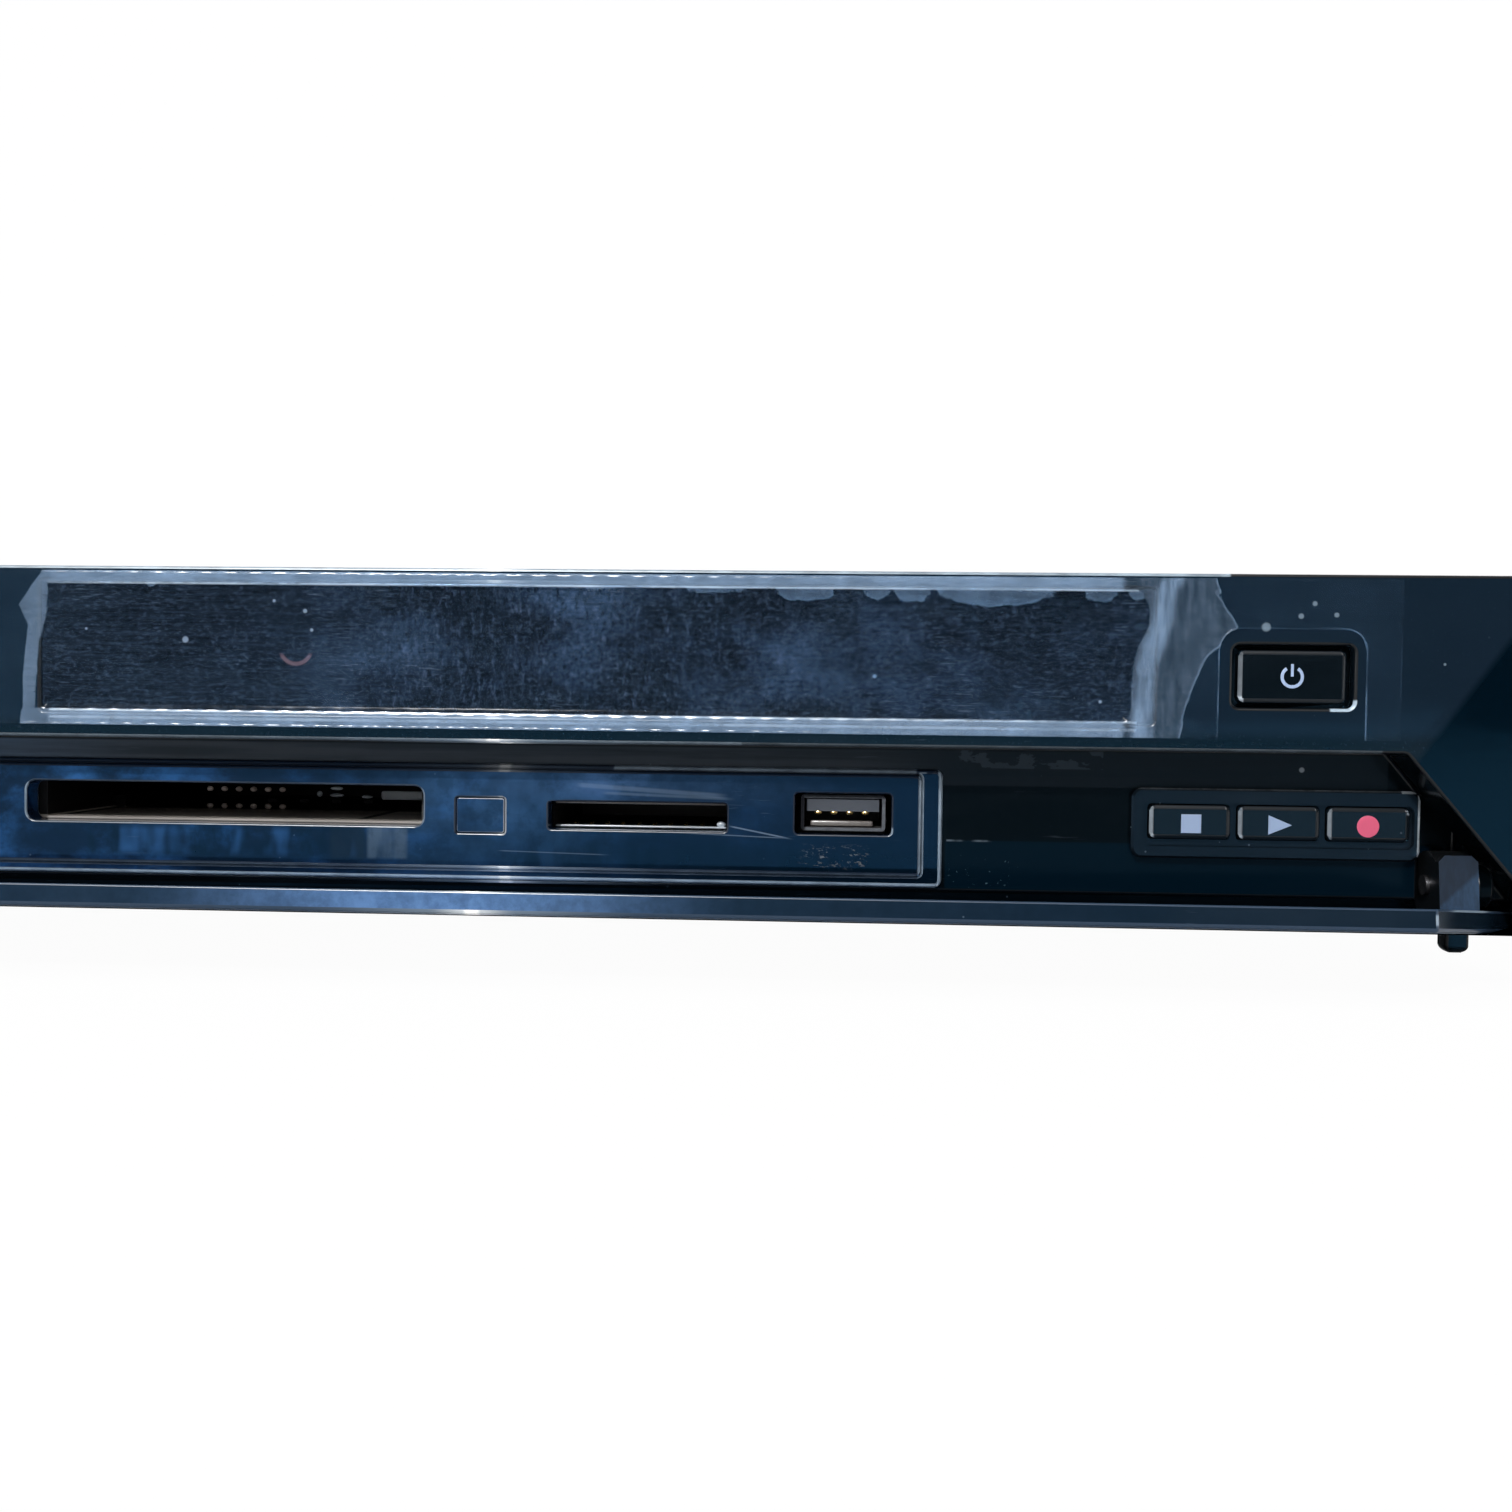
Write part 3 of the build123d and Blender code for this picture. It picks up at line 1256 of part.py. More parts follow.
def hdmi_socket():
    """Display socket: a shell with its lower corners cut and a tongue inside."""
    w, d, h = hdmi_size
    near, far = body_depth - d, body_depth
    mid = board_top + h / 2
    shell = block(about(hdmi_x, w), (near, far), (board_top, board_top + h))
    iw, ih, cut = w - 1.2, h - 1.2, 1.8
    outline = Polyline(
        (-iw / 2, ih / 2), (iw / 2, ih / 2), (iw / 2, -ih / 2 + cut), (iw / 2 - cut, -ih / 2),
        (cut - iw / 2, -ih / 2), (-iw / 2, cut - ih / 2), close=True,
    )
    cavity = facing(Pos(hdmi_x, mid) * make_face(outline), near + 2, far + 1)
    tongue = block((hdmi_x - 5.0, hdmi_x + 5.0), (near + 1, far - 1.0), (mid - 0.3, mid + 1.0))
    return shell - cavity + tongue


def optical_socket():
    """Optical audio socket, shut by its flap."""
    w, d, h = optical_size
    body = block(about(optical_x, w), (body_depth - d, body_depth), (board_top, board_top + h))
    middle = board_top + h / 2
    pit = facing(rounded(7.6, 7.6, optical_x, middle, 1.0), body_depth - 1.2, body_depth + 1)
    return body - pit


def power_inlet():
    """Two-pin mains inlet: an oval well with two pins, standing on the supply board."""
    w, d, h = inlet_size
    cw, ch, cd = inlet_cavity
    far = body_depth + 1.0
    body = facing(rounded(w, h, inlet_x, inlet_z, 3.0), far - d, far)
    low = inlet_z - h / 2
    body = body - facing(rounded(cw, ch, inlet_x, inlet_z, ch / 2), far - cd, far + 1)
    pins = [
        along_depth(inlet_pin_radius, x, inlet_z, far - cd - 1, far - cd + inlet_pin_length)
        for x in about(inlet_x, 2 * inlet_pin_spread)
    ]
    near = power_board_depth[1] - 5.0
    seat = block((inlet_x - 8, inlet_x + 8), (near, rear_inner - 1.0), (board_top, low + 3.0))
    shell = seat - block((inlet_x - w, inlet_x + w), (near - 1, far + 1), (low + 1.0, unit_height))
    return body + pins + shell


def feet():
    """Round feet: a tapered ring with a hollow underneath."""
    outline = Polyline(
        (3.0, 2.0), (foot_radius - 4.0, 2.0), (foot_radius - 4.0, 0), (foot_radius - 1.2, 0),
        (foot_radius, 1.2), (foot_radius, foot_height), (3.0, foot_height), close=True,
    )
    foot = revolve(Plane.XZ * make_face(outline), Axis.Z)
    return [Pos(s * foot_x, y, 0) * foot for s in (-1, 1) for y in foot_depths]


def case_screws():
    """Low-head screws: two on each side of the cover and a row across the rear panel."""
    screws = []
    outside = half_width - cover_inset
    for y in side_screw_depths:
        head = along_width(screw_head_radius, y, side_screw_z, outside, outside + screw_head)
        shank = along_width(screw_radius, y, side_screw_z, outside - screw_length, outside)
        screws += both_sides(head + shank)
    for x in rear_screw_x:
        head = along_depth(screw_head_radius, x, rear_screw_z, body_depth, body_depth + 1.6)
        shank = along_depth(screw_radius, x, rear_screw_z, body_depth - screw_length, body_depth)
        screws.append(head + shank)
    return screws


def ribbon(cable, start, high, run, drop):
    """A flat cable: out from a plug at a height, down a slope, and along to its plug on the main board."""
    x, width, near = cable
    low = board_top + plug_height + ribbon_thickness
    points = [(start, high), (start + run, high), (start + run + drop, low), (near + plug_depth, low)]
    path = FilletPolyline(*points, radius=ribbon_bend)
    return sideways(trace(path, ribbon_thickness), x - width / 2, x + width / 2)


def flat_cables():
    """The cables from the front board and from the back of the drive to the main board."""
    front_start = front_board_depth + board + plug_height + ribbon_thickness
    drive_start = drive_front + drive_length + case_gap
    return [
        ribbon(front_cable, front_start, front_plug_z, front_cable[2] - front_start - 4.0, 2.5),
        ribbon(drive_cable, drive_start, drive_base_z + 16.0, 3.0, 2.5),
    ]


PIECES = {
    "front_bezel": front_bezel,
    "display_window": display_window,
    "protective_film": protective_film,
    "slot_panel": slot_panel,
    "indicator_window": indicator_window,
    "button_plate": button_plate,
    "front_board": front_board,
    "display_module": display_module,
    "tact_switches": tact_switches,
    "hinge_pins": hinge_pins,
    "door_panel": door_panel,
    "door_hinge_arms": door_hinge_arms,
    "power_button": lambda: panel_button(power_x),
    "open_button": lambda: panel_button(-power_x),
    "stop_button": lambda: key(0),
    "play_button": lambda: key(1),
    "record_button": lambda: key(2),
    "card_reader": card_reader,
    "sd_socket": sd_socket,
    "usb_socket": usb_socket,
    "bottom_chassis": bottom_chassis,
    "top_cover": top_cover,
    "rear_panel": rear_panel,
    "main_board": main_board,
    "board_chips": board_chips,
    "heat_sink": heat_sink,
    "power_board": power_board,
    "transformer": transformer,
    "power_capacitors": power_capacitors,
    "hard_drive": hard_drive,
    "hard_drive_bracket": hard_drive_bracket,
    "drive_chassis": drive_chassis,
    "drive_cover": drive_cover,
    "disc_clamp": disc_clamp,
    "disc_tray": disc_tray,
    "tray_front": tray_front,
    "tray_gear": tray_gear,
    "pulley_gear": pulley_gear,
    "motor_pulley": motor_pulley,
    "loading_motor": loading_motor,
    "loading_belt": loading_belt,
    "traverse_frame": traverse_frame,
    "guide_rods": guide_rods,
    "spindle_motor": spindle_motor,
    "turntable": turntable,
    "pickup_head": pickup_head,
    "pickup_lens": pickup_lens,
    "lead_screw": lead_screw,
    "sled_motor": sled_motor,
    "fan_frame": fan_frame,
    "fan_rotor": fan_rotor,
    "tuner_box": tuner_box,
    "av_jacks": av_jacks,
    "network_socket": network_socket,
    "hdmi_socket": hdmi_socket,
    "optical_socket": optical_socket,
    "power_inlet": power_inlet,
    "flat_cables": flat_cables,
    "case_screws": case_screws,
    "feet": feet,
}


def solids_of(shape):
    """All the solids of a shape or of a list of shapes."""
    if isinstance(shape, (list, tuple)):
        return [solid for one in shape for solid in solids_of(one)]
    return list(shape.solids())


def place(shape):
    """A piece's solids, moved so that the origin lies under the middle of the object's box."""
    return Compound(children=[solid.moved(Location((0, front_y, 0))) for solid in solids_of(shape)])


os.makedirs("parts", exist_ok=True)
for name, make in PIECES.items():
    export_step(place(make()), f"parts/{name}.step")
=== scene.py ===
# %% [markdown]
# # A disc recorder with its front door open
# The recorder is a slim black box. Its looks are mostly gloss: a deep blue-black front that mirrors the
# room, a smoked window under a half-peeled protective film, and a recess with card slots and small keys
# behind a door that has swung down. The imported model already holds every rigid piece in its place, so this
# script starts from it and adds what a shape alone does not have: finishes, film, contacts, marks, lenses
# and threads.

import json
from math import cos, pi, radians, sin, tau

import bmesh
import bpy
import numpy as np
from mathutils import Matrix, Vector


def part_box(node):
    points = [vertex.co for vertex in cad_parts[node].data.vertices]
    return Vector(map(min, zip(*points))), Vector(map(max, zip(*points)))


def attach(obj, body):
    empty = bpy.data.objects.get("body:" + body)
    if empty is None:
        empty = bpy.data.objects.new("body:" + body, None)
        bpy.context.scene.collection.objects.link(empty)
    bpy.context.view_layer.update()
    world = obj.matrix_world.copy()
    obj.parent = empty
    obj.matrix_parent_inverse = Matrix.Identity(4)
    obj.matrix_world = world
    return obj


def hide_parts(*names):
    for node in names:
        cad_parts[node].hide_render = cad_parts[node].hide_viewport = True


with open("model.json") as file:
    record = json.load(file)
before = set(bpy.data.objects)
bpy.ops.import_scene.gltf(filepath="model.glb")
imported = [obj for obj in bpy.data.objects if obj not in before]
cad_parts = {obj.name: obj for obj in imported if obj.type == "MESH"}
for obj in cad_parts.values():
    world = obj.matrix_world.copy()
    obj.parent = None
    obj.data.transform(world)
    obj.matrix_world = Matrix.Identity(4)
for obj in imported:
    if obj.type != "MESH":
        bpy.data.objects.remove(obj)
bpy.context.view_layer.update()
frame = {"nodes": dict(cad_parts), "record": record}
mm = 0.001
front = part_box("front_bezel")[0].y
print("nodes", len(frame["nodes"]), "front plane at", round(front, 5))


# %% [markdown]
# Places are easier to read in the recorder's own terms: x from the middle of the front, depth behind the
# front plane and height above the table, all in millimetres. One small function turns them into the frame's
# metres.


# %% Places on the recorder
def at(x, depth, z):
    """A point, or an array of points, from the recorder's millimetres to metres in the shared frame."""
    x, depth, z = np.broadcast_arrays(np.asarray(x, float), depth, z)
    return np.stack([x * mm, front + depth * mm, z * mm], axis=-1)


def span(node, axis):
    """The lowest and highest value of a node along an axis, in the recorder's millimetres."""
    low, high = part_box(node)
    shift = front if axis == 1 else 0.0
    return (low[axis] - shift) / mm, (high[axis] - shift) / mm


def middle(node, axis):
    return sum(span(node, axis)) / 2


window_x, window_z = span("display_window", 0), span("display_window", 2)
print("window", [round(v, 2) for v in (*window_x, *window_z)])

# %% [markdown]
# The camera stands very close, 22 cm from the front, a little above the middle of the case and turned
# slightly to the left. Its place and its three turns were worked out from the straight edges of the case,
# and a 36 mm lens on a 36 mm sensor gives the same angle of view.

# %% Camera
camera_x, camera_distance, camera_z = 110.0, 221.05, 40.18
yaw, pitch, roll = radians(-3.078), radians(-1.891), radians(-0.690)


def camera_axes():
    """Right, up and forward of a camera that is turned about the vertical, then tipped, then rolled."""
    forward = Vector((sin(yaw) * cos(pitch), cos(yaw) * cos(pitch), sin(pitch)))
    right = Vector((cos(yaw), -sin(yaw), 0.0))
    down = forward.cross(right)
    return right * cos(roll) + down * sin(roll), right * sin(roll) - down * cos(roll), forward


lens = bpy.data.cameras.new("close_camera")
lens.lens, lens.sensor_width, lens.clip_start = 36.0, 36.0, 0.01
camera = bpy.data.objects.new("close_camera", lens)
bpy.context.scene.collection.objects.link(camera)
right, up, forward = camera_axes()
turn = Matrix((right, up, -forward)).transposed().to_4x4()
camera.matrix_world = Matrix.Translation(Vector(at(camera_x, -camera_distance, camera_z))) @ turn
bpy.context.scene.camera = camera
print("camera at", [round(v, 4) for v in camera.location])

# %% [markdown]
# A mesh is only a list of points and a list of faces. Most shapes here are a grid of points that a formula
# gives for two parameters, so one function turns any such grid into a mesh. Joining the last row to the
# first closes a ring, and one face over the first row and one over the last shut the open ends.


# %% Grids into meshes
def grid_faces(rows, columns, closed_rows=False, closed_columns=False):
    """The four corners of every cell of a grid, as indices, worked out as whole arrays."""
    r = np.arange(rows if closed_rows else rows - 1)[:, None]
    c = np.arange(columns if closed_columns else columns - 1)[None, :]
    r2, c2 = (r + 1) % rows, (c + 1) % columns
    corners = [r * columns + c, r * columns + c2, r2 * columns + c2, r2 * columns + c]
    return np.stack([np.broadcast_to(k, (r.size, c.size)) for k in corners], axis=-1).reshape(-1, 4)


def grid_mesh(name, grids, caps=False, closed=(False, True)):
    """One object from grids of points of shape (rows, columns, 3), each with its ends shut if asked."""
    points, faces, start = [], [], 0
    for grid in grids:
        rows, columns = grid.shape[:2]
        points.append(grid.reshape(-1, 3))
        faces += (grid_faces(rows, columns, *closed) + start).tolist()
        if caps:
            ring = np.arange(columns)
            faces += [(ring[::-1] + start).tolist(), (ring + start + (rows - 1) * columns).tolist()]
        start += rows * columns
    mesh = bpy.data.meshes.new(name)
    mesh.from_pydata(np.concatenate(points).tolist(), [], faces)
    mesh.validate()
    mesh.update()
    piece = bpy.data.objects.new(name, mesh)
    bpy.context.scene.collection.objects.link(piece)
    return piece


def around(steps):
    """Even angles once round a circle, as a row."""
    return np.linspace(0, tau, steps, endpoint=False)[None, :]


print("grid helper: a 3 by 4 grid has", len(grid_faces(3, 4)), "cells")


# %% [markdown]
# Every finish is a Principled shader fed by a few textures. Writing out node after node hides what matters,
# so one class gives each kind of node a short method, and a second one adds what only a finish needs.
# Patterns read Object coordinates, in metres, so that their size on the piece is a real size.


# %% A short way to write materials
def linear(r, g, b, a=1.0):
    """A colour that is written as a screen shows it, 0 to 255, turned into the shader's linear values."""
    c = np.array([r, g, b]) / 255
    low = c <= 0.04045
    return (*np.where(low, c / 12.92, ((c + 0.055) / 1.055) ** 2.4), a)


class Nodes:
    """A node tree. Each method adds a node and returns what comes out of it."""

    def __init__(self, tree):
        self.tree = tree

    def put(self, socket, value):
        if isinstance(value, bpy.types.NodeSocket):
            self.tree.links.new(value, socket)
        else:
            socket.default_value = value

    def node(self, kind, inputs=None, **settings):
        made = self.tree.nodes.new("ShaderNode" + kind)
        for key, value in settings.items():
            setattr(made, key, value)
        for key, value in (inputs or {}).items():
            self.put(made.inputs[key], value)
        return made

    def maths(self, operation, *values, clamp=False):
        return self.node("Math", dict(enumerate(values)), operation=operation, use_clamp=clamp).outputs[0]

    def less(self, a, b):
        return self.maths("SUBTRACT", a, b)

    def chain(self, operation, made, *values):
        for value in values:
            made = self.maths(operation, made, value)
        return made

    def both(self, *values):
        """The product of several masks."""
        return self.chain("MULTIPLY", *values)

    def total(self, *values):
        """The sum of several masks."""
        return self.chain("ADD", *values)

    def ramp(self, value, low, high, to=(0.0, 1.0), kind="SMOOTHSTEP"):
        """Runs from one number to another as a value runs from low to high."""
        inputs = {"Value": value, "From Min": low, "From Max": high, "To Min": to[0], "To Max": to[1]}
        return self.node("MapRange", inputs, interpolation_type=kind).outputs["Result"]


class Finish(Nodes):
    """A material around one Principled shader. Lengths and places are in the recorder's millimetres."""

    def __init__(self, name, color, roughness, metallic=0.0, **more):
        self.material = bpy.data.materials.new(name)
        self.material.use_nodes = True
        super().__init__(self.material.node_tree)
        self.shader = self.tree.nodes["Principled BSDF"]
        self.color = linear(*color)
        self.feed("Base Color", self.color)
        self.feed("Roughness", roughness)
        self.feed("Metallic", metallic)
        for socket, value in more.items():
            self.feed(socket.replace("_", " "), value)

    def feed(self, socket, value):
        self.put(self.shader.inputs[socket], value)

    def lay(self, color, *masks):
        """Lays a colour over what the base colour is so far, by the product of some masks."""
        socket = self.shader.inputs["Base Color"]
        under = socket.links[0].from_socket if socket.is_linked else self.color
        made = self.node("Mix", data_type="RGBA")
        for place, value in zip((0, 6, 7), (self.both(*masks), under, linear(*color))):
            self.put(made.inputs[place], value)
        self.feed("Base Color", made.outputs[2])

    def bump(self, height, depth, strength=1.0):
        """Raises the surface by a depth where the height is 1."""
        inputs = {"Height": height, "Distance": depth * mm, "Strength": strength}
        self.feed("Normal", self.node("Bump", inputs).outputs["Normal"])

    def place(self, stretch=(1, 1, 1), turn=(0, 0, 0)):
        """Object coordinates, turned and stretched."""
        inputs = {"Vector": self.node("TexCoord").outputs["Object"], "Rotation": turn, "Scale": stretch}
        return self.node("Mapping", inputs).outputs["Vector"]

    def noise(self, size, detail=3.0, rough=0.5, **placing):
        """Soft noise whose blobs are about so many millimetres across."""
        inputs = {"Vector": self.place(**placing), "Scale": 1 / (size * mm)}
        return self.node("TexNoise", inputs | {"Detail": detail, "Roughness": rough}).outputs["Fac"]

    def blobs(self, size, low, high, detail=3.0, rough=0.5, to=(0.0, 1.0), **placing):
        """Noise as a mask, run through a ramp."""
        return self.ramp(self.noise(size, detail, rough, **placing), low, high, to)

    def cells(self, size, feature="F1", output="Distance"):
        """Distance within a cell pattern whose cells are about so many millimetres across."""
        inputs = {"Vector": self.place(), "Scale": 1 / (size * mm)}
        return self.node("TexVoronoi", inputs, feature=feature).outputs[output]

    def by_cell(self, size):
        """A number for each cell of the pattern, the same all over the cell."""
        return self.node("SeparateColor", {0: self.cells(size, output="Color")}).outputs[0]

    def axis(self, index):
        """One of the three Object coordinates, in metres."""
        return self.node("SeparateXYZ", {"Vector": self.node("TexCoord").outputs["Object"]}).outputs[index]

    def fade(self, axis, low, high, to=(0.0, 1.0)):
        """A ramp from one place to another along an axis."""
        shift = front if axis == 1 else 0.0
        return self.ramp(self.axis(axis), shift + low * mm, shift + high * mm, to)

    def within(self, axis, low, high, soft=0.3):
        """A mask that is 1 between two places along an axis, with soft ends."""
        return self.both(self.fade(axis, low - soft, low + soft), self.fade(axis, high + soft, high - soft))

    def patch(self, left, right, low, high, soft=0.4):
        """A rectangle on the front as a mask."""
        return self.both(self.within(0, left, right, soft), self.within(2, low, high, soft))

    def hump(self, axis, middle, half):
        """A soft hump along an axis: 1 at its middle, 0 at half its width away."""
        away = self.maths("ABSOLUTE", self.less(self.axis(axis), middle * mm))
        return self.ramp(away, half * mm, 0.0)

    def away(self, x, z):
        """Millimetres from a point of the front, seen from the front."""
        flat = self.place(stretch=(1 / mm, 0, 1 / mm))
        return self.node("VectorMath", {0: flat, 1: (x, 0, z)}, operation="DISTANCE").outputs["Value"]

    def spots(self, places):
        """Small round drops as one mask, each given as a place across, a height and a radius."""
        made = 0.0
        for x, z, radius in places:
            made = self.maths("MAXIMUM", made, self.ramp(self.away(x, z), radius, radius * 0.5))
        return made

    def stored(self, name):
        """A number stored on the piece's own points."""
        return self.node("Attribute", attribute_name=name).outputs["Fac"]


finishes = {}
print("red 255 in linear light is", linear(255, 0, 0)[0])


# %% [markdown]
# ## Gloss mouldings
# The front is moulded in deep blue-black plastic and polished. Such a surface has almost no colour of its
# own: what is seen is a dim mirror of the room, tinted blue, with fine dust and a few wipe marks on it. So
# the base colour is nearly black, the mirror's tint is blue, and the roughness rises where fingers and
# cloths have been. Over that, the room's reflections are painted into the colour, one patch or cloud at a
# time.


# %% Gloss plastic
def dust(finish, spacing, amount, radius=0.25):
    """Round specks, one in some of the cells of a pattern, as a mask."""
    distance = finish.cells(spacing)
    chosen = finish.maths("LESS_THAN", finish.by_cell(spacing), amount)
    return finish.both(chosen, finish.ramp(distance, radius, radius * 0.6))


def hairlines(finish, spacing, length, turn):
    """Fine scratches: a noise stretched many times along one way, of which only the crests are kept."""
    return finish.blobs(spacing, 0.66, 0.72, 2.0, 0.6, stretch=(1 / length, 1 / length, 1), turn=(0, turn, 0))


def gloss(name, color, tint, shine, roughness=0.05, dusty=1.0, dust_color=(120, 132, 145)):
    """Polished plastic with wipe marks, specks, lint and fine scratches."""
    finish = Finish(name, color, roughness, Specular_IOR_Level=shine, Specular_Tint=linear(*tint))
    wiped = finish.blobs(14.0, 0.42, 0.75, 4.0, 0.6, stretch=(0.35, 1, 1))
    specks = finish.both(dust(finish, 2.2, 0.10 * dusty, 0.09), 0.5)
    lint = dust(finish, 9.0, 0.12 * dusty, 0.035)
    marks = finish.both(hairlines(finish, 0.5, 14.0, 0.25), finish.blobs(20.0, 0.5, 0.66), 0.22)
    worn = finish.maths("ADD", finish.total(marks, specks), lint, clamp=True)
    finish.lay(dust_color, wiped, 0.025 * dusty)
    finish.lay(dust_color, worn, 0.5)
    rough = finish.ramp(wiped, 0.0, 1.0, (roughness, roughness + 0.07))
    finish.feed("Roughness", finish.total(rough, finish.both(worn, 0.4)))
    return finish


# %% The front moulding
panel = finishes["gloss_panel"] = gloss("gloss_panel", (5, 13, 18), (92, 165, 215), 0.40)
on_face = panel.within(1, -2.0, 0.6, 0.2)
panel.lay((90, 108, 128), on_face, panel.blobs(0.5, 0.55, 0.8, 3.0, 0.7, (0.0, 0.16)))
# Painted reflection: the face is paler above 38 mm than along its lower edge.
panel.lay((19, 32, 45), on_face, panel.fade(2, 35.6, 38), 0.8)
# Painted reflection: darker teal beyond a slanting line at the right end of the face.
beyond = panel.less(panel.axis(0), panel.both(panel.axis(2), 0.72))
panel.lay((0, 10, 19), on_face, panel.ramp(beyond, 168.0 * mm, 169.8 * mm), 0.97)
drops = [(178.0, 55.8, 0.45), (176.1, 54.0, 0.5), (181.1, 54.2, 0.45), (171.2, 52.4, 0.8)]
panel.lay((150, 170, 185), panel.spots([*drops, (196.4, 47.3, 0.25)]), 0.45)
print("front moulding made")

# %% The inside of the recess
# Painted shade: the recess is the same moulding as the front, with a darker base colour and less shine.
recess = finishes["recess"] = gloss("recess", (3, 7, 10), (110, 150, 180), 0.14, 0.12, 0.8)
recess_left, recess_right, floor_line = -192.0, 192.0, 20.2
streaks = recess.blobs(1.4, 0.3, 0.7, 4.0, 0.6, (0.55, 1.0), stretch=(0.04, 1, 1))
# A paler grey band with streaks on the back wall above the slot panel.
back_wall_band = recess.both(recess.patch(recess_left, recess_right, 28.6, 33.8, 0.2), streaks)
ragged = recess.blobs(5.0, 0.5, 0.54, 4.0, 0.6, stretch=(1, 1, 2))
chipped = recess.blobs(0.7, 0.64, 0.7, 3.0, 0.7)
for color, *masks in (
    ((66, 70, 76), back_wall_band, recess.hump(0, -60, 400), 0.85),
    # Painted reflection: the band is bluer to the left.
    ((88, 112, 142), back_wall_band, recess.fade(0, 10, -40), 0.5),
    # Painted reflection: the band is darker to the right.
    ((10, 20, 26), back_wall_band, recess.fade(0, 112, 130), 0.75),
    ((58, 66, 74), recess.patch(128, 150, 31.2, 33.9, 0.1), ragged, 0.5),
    # Painted reflection: a teal tint over the lower right of the recess.
    ((2, 20, 32), recess.patch(126.5, 200, 12, floor_line, 0.15), 0.8),
    ((110, 122, 132), recess.patch(126.7, 134, 20.05, 20.3, 0.1), recess.blobs(3.0, 0.4, 0.6), 0.6),
    # Painted reflection: a teal tint on the floor strip under the slot panel.
    ((3, 24, 40), recess.patch(recess_left, 126, 11.9, 13.0, 0.3), recess.within(1, 0.2, 12, 0.3), 0.8),
    ((95, 118, 130), recess.patch(127, 137, 13, 17.5, 1.0), chipped, 0.5),
    ((150, 158, 165), recess.spots([(179.4, 31.6, 0.5)]), 0.6),
):
    recess.lay(color, *masks)
print("recess made")


# %% Slot panel
def scratch(finish, start, stop, width):
    """A straight scratch: near the line between two places across it, and between its ends along it."""
    run = np.subtract(stop, start)
    length = float(np.hypot(*run))
    ux, uz = (run / length).tolist()
    x, z = [finish.less(finish.axis(axis), place * mm) for axis, place in zip((0, 2), start)]
    along = finish.total(finish.both(x, ux), finish.both(z, uz))
    across = finish.less(finish.both(x, uz), finish.both(z, ux))
    near = finish.ramp(finish.maths("ABSOLUTE", across), width * mm, 0.3 * width * mm)
    begun, ended = finish.ramp(along, 0.0, 1.5 * mm), finish.ramp(along, length * mm, (length - 3) * mm)
    return finish.both(near, begun, ended)


slot_look = finishes["tray_gloss"] = gloss("tray_gloss", (7, 19, 36), (80, 150, 215), 0.55, 0.05, 0.8)
blobs, patch, hump, fade, within = (
    slot_look.blobs, slot_look.patch, slot_look.hump, slot_look.fade, slot_look.within)
# Masks for painted reflections of the room on the slot panel.
reflected_clouds = blobs(11.0, 0.44, 0.74, 5.0, 0.62, stretch=(0.8, 1, 1.3))
mirrored_shapes = blobs(4.5, 0.4, 0.62, 4.0, 0.6, stretch=(1, 1, 0.45))
upper = within(2, 25.8, 32, 2.0)
upright = blobs(2.4, 0.35, 0.6, to=(0.35, 0.9), stretch=(1, 1, 0.2))
posts = blobs(3.4, 0.44, 0.66, 1.5, 0.4, stretch=(1, 1, 0.35))
# Painted reflections: blue clouds, brighter to the left and along the top, a glow near x 57 where the sun is
# mirrored, dark mirrored shapes and streaks below the slots, and darker towards the right and the bottom.
for color, *masks in (
    ((44, 92, 152), reflected_clouds, hump(0, 0, 130), 0.62),
    ((80, 125, 175), hump(0, 57, 26), blobs(6.0, 0.3, 0.7, 4.0, to=(0.3, 1.0)), 0.32),
    ((2, 15, 24), patch(-6, 37, 15.9, 20.6, 0.7), mirrored_shapes, 0.85),
    ((3, 17, 27), patch(60, 121, 13.5, 19.0, 2.0), slot_look.total(mirrored_shapes, 0.3), 0.6),
    ((2, 12, 22), fade(0, 96, 124, (0.0, 0.55))),
    ((27, 33, 36), patch(32.2, 37.6, 16, 21.0, 0.4), 0.75),
    ((82, 98, 114), patch(38.0, 44.2, 16.1, 20.9, 0.35), upright),
    ((62, 120, 186), upper, reflected_clouds, hump(0, -34, 60), 0.6),
    ((96, 130, 176), upper, slot_look.ramp(reflected_clouds, 0.0, 1.0, (0.4, 1.0)), hump(0, 76, 38), 0.36),
    ((2, 14, 23), fade(2, 23, 16), fade(0, -20, 75, (0.0, 0.62))),
    ((58, 116, 186), fade(0, -12, -26), blobs(7.0, 0.36, 0.62, 5.0, 0.65), 0.55),
    ((2, 12, 24), blobs(4.0, 0.46, 0.64, 5.0, 0.65), within(2, 14, 31, 1.0), 0.35),
    ((52, 96, 150), patch(-6, 36, 16.4, 20.4, 0.8), posts, 0.5),
):
    slot_look.lay(color, *masks)
for start, stop, width, share in (
    ((93.3, 22.0), (103.8, 20.0), 0.16, 0.42),
    ((80.0, 21.0), (103.0, 20.2), 0.12, 0.3),
    ((58.0, 17.6), (76.0, 17.2), 0.12, 0.2),
    ((70.0, 27.9), (94.0, 26.4), 0.5, 0.16),
    ((74.0, 26.7), (95.0, 26.0), 0.3, 0.14),
    ((-38.0, 22.0), (-24.0, 18.0), 0.3, 0.2),
):
    slot_look.lay((150, 168, 186), scratch(slot_look, start, stop, width), share)
scuffed = blobs(0.8, 0.56, 0.62, 5.0, 0.75, stretch=(0.6, 1, 1.4), turn=(0, 0.5, 0))
slot_look.lay((130, 128, 124), scuffed, patch(105, 114.5, 16.2, 18.8, 0.9), 0.75)

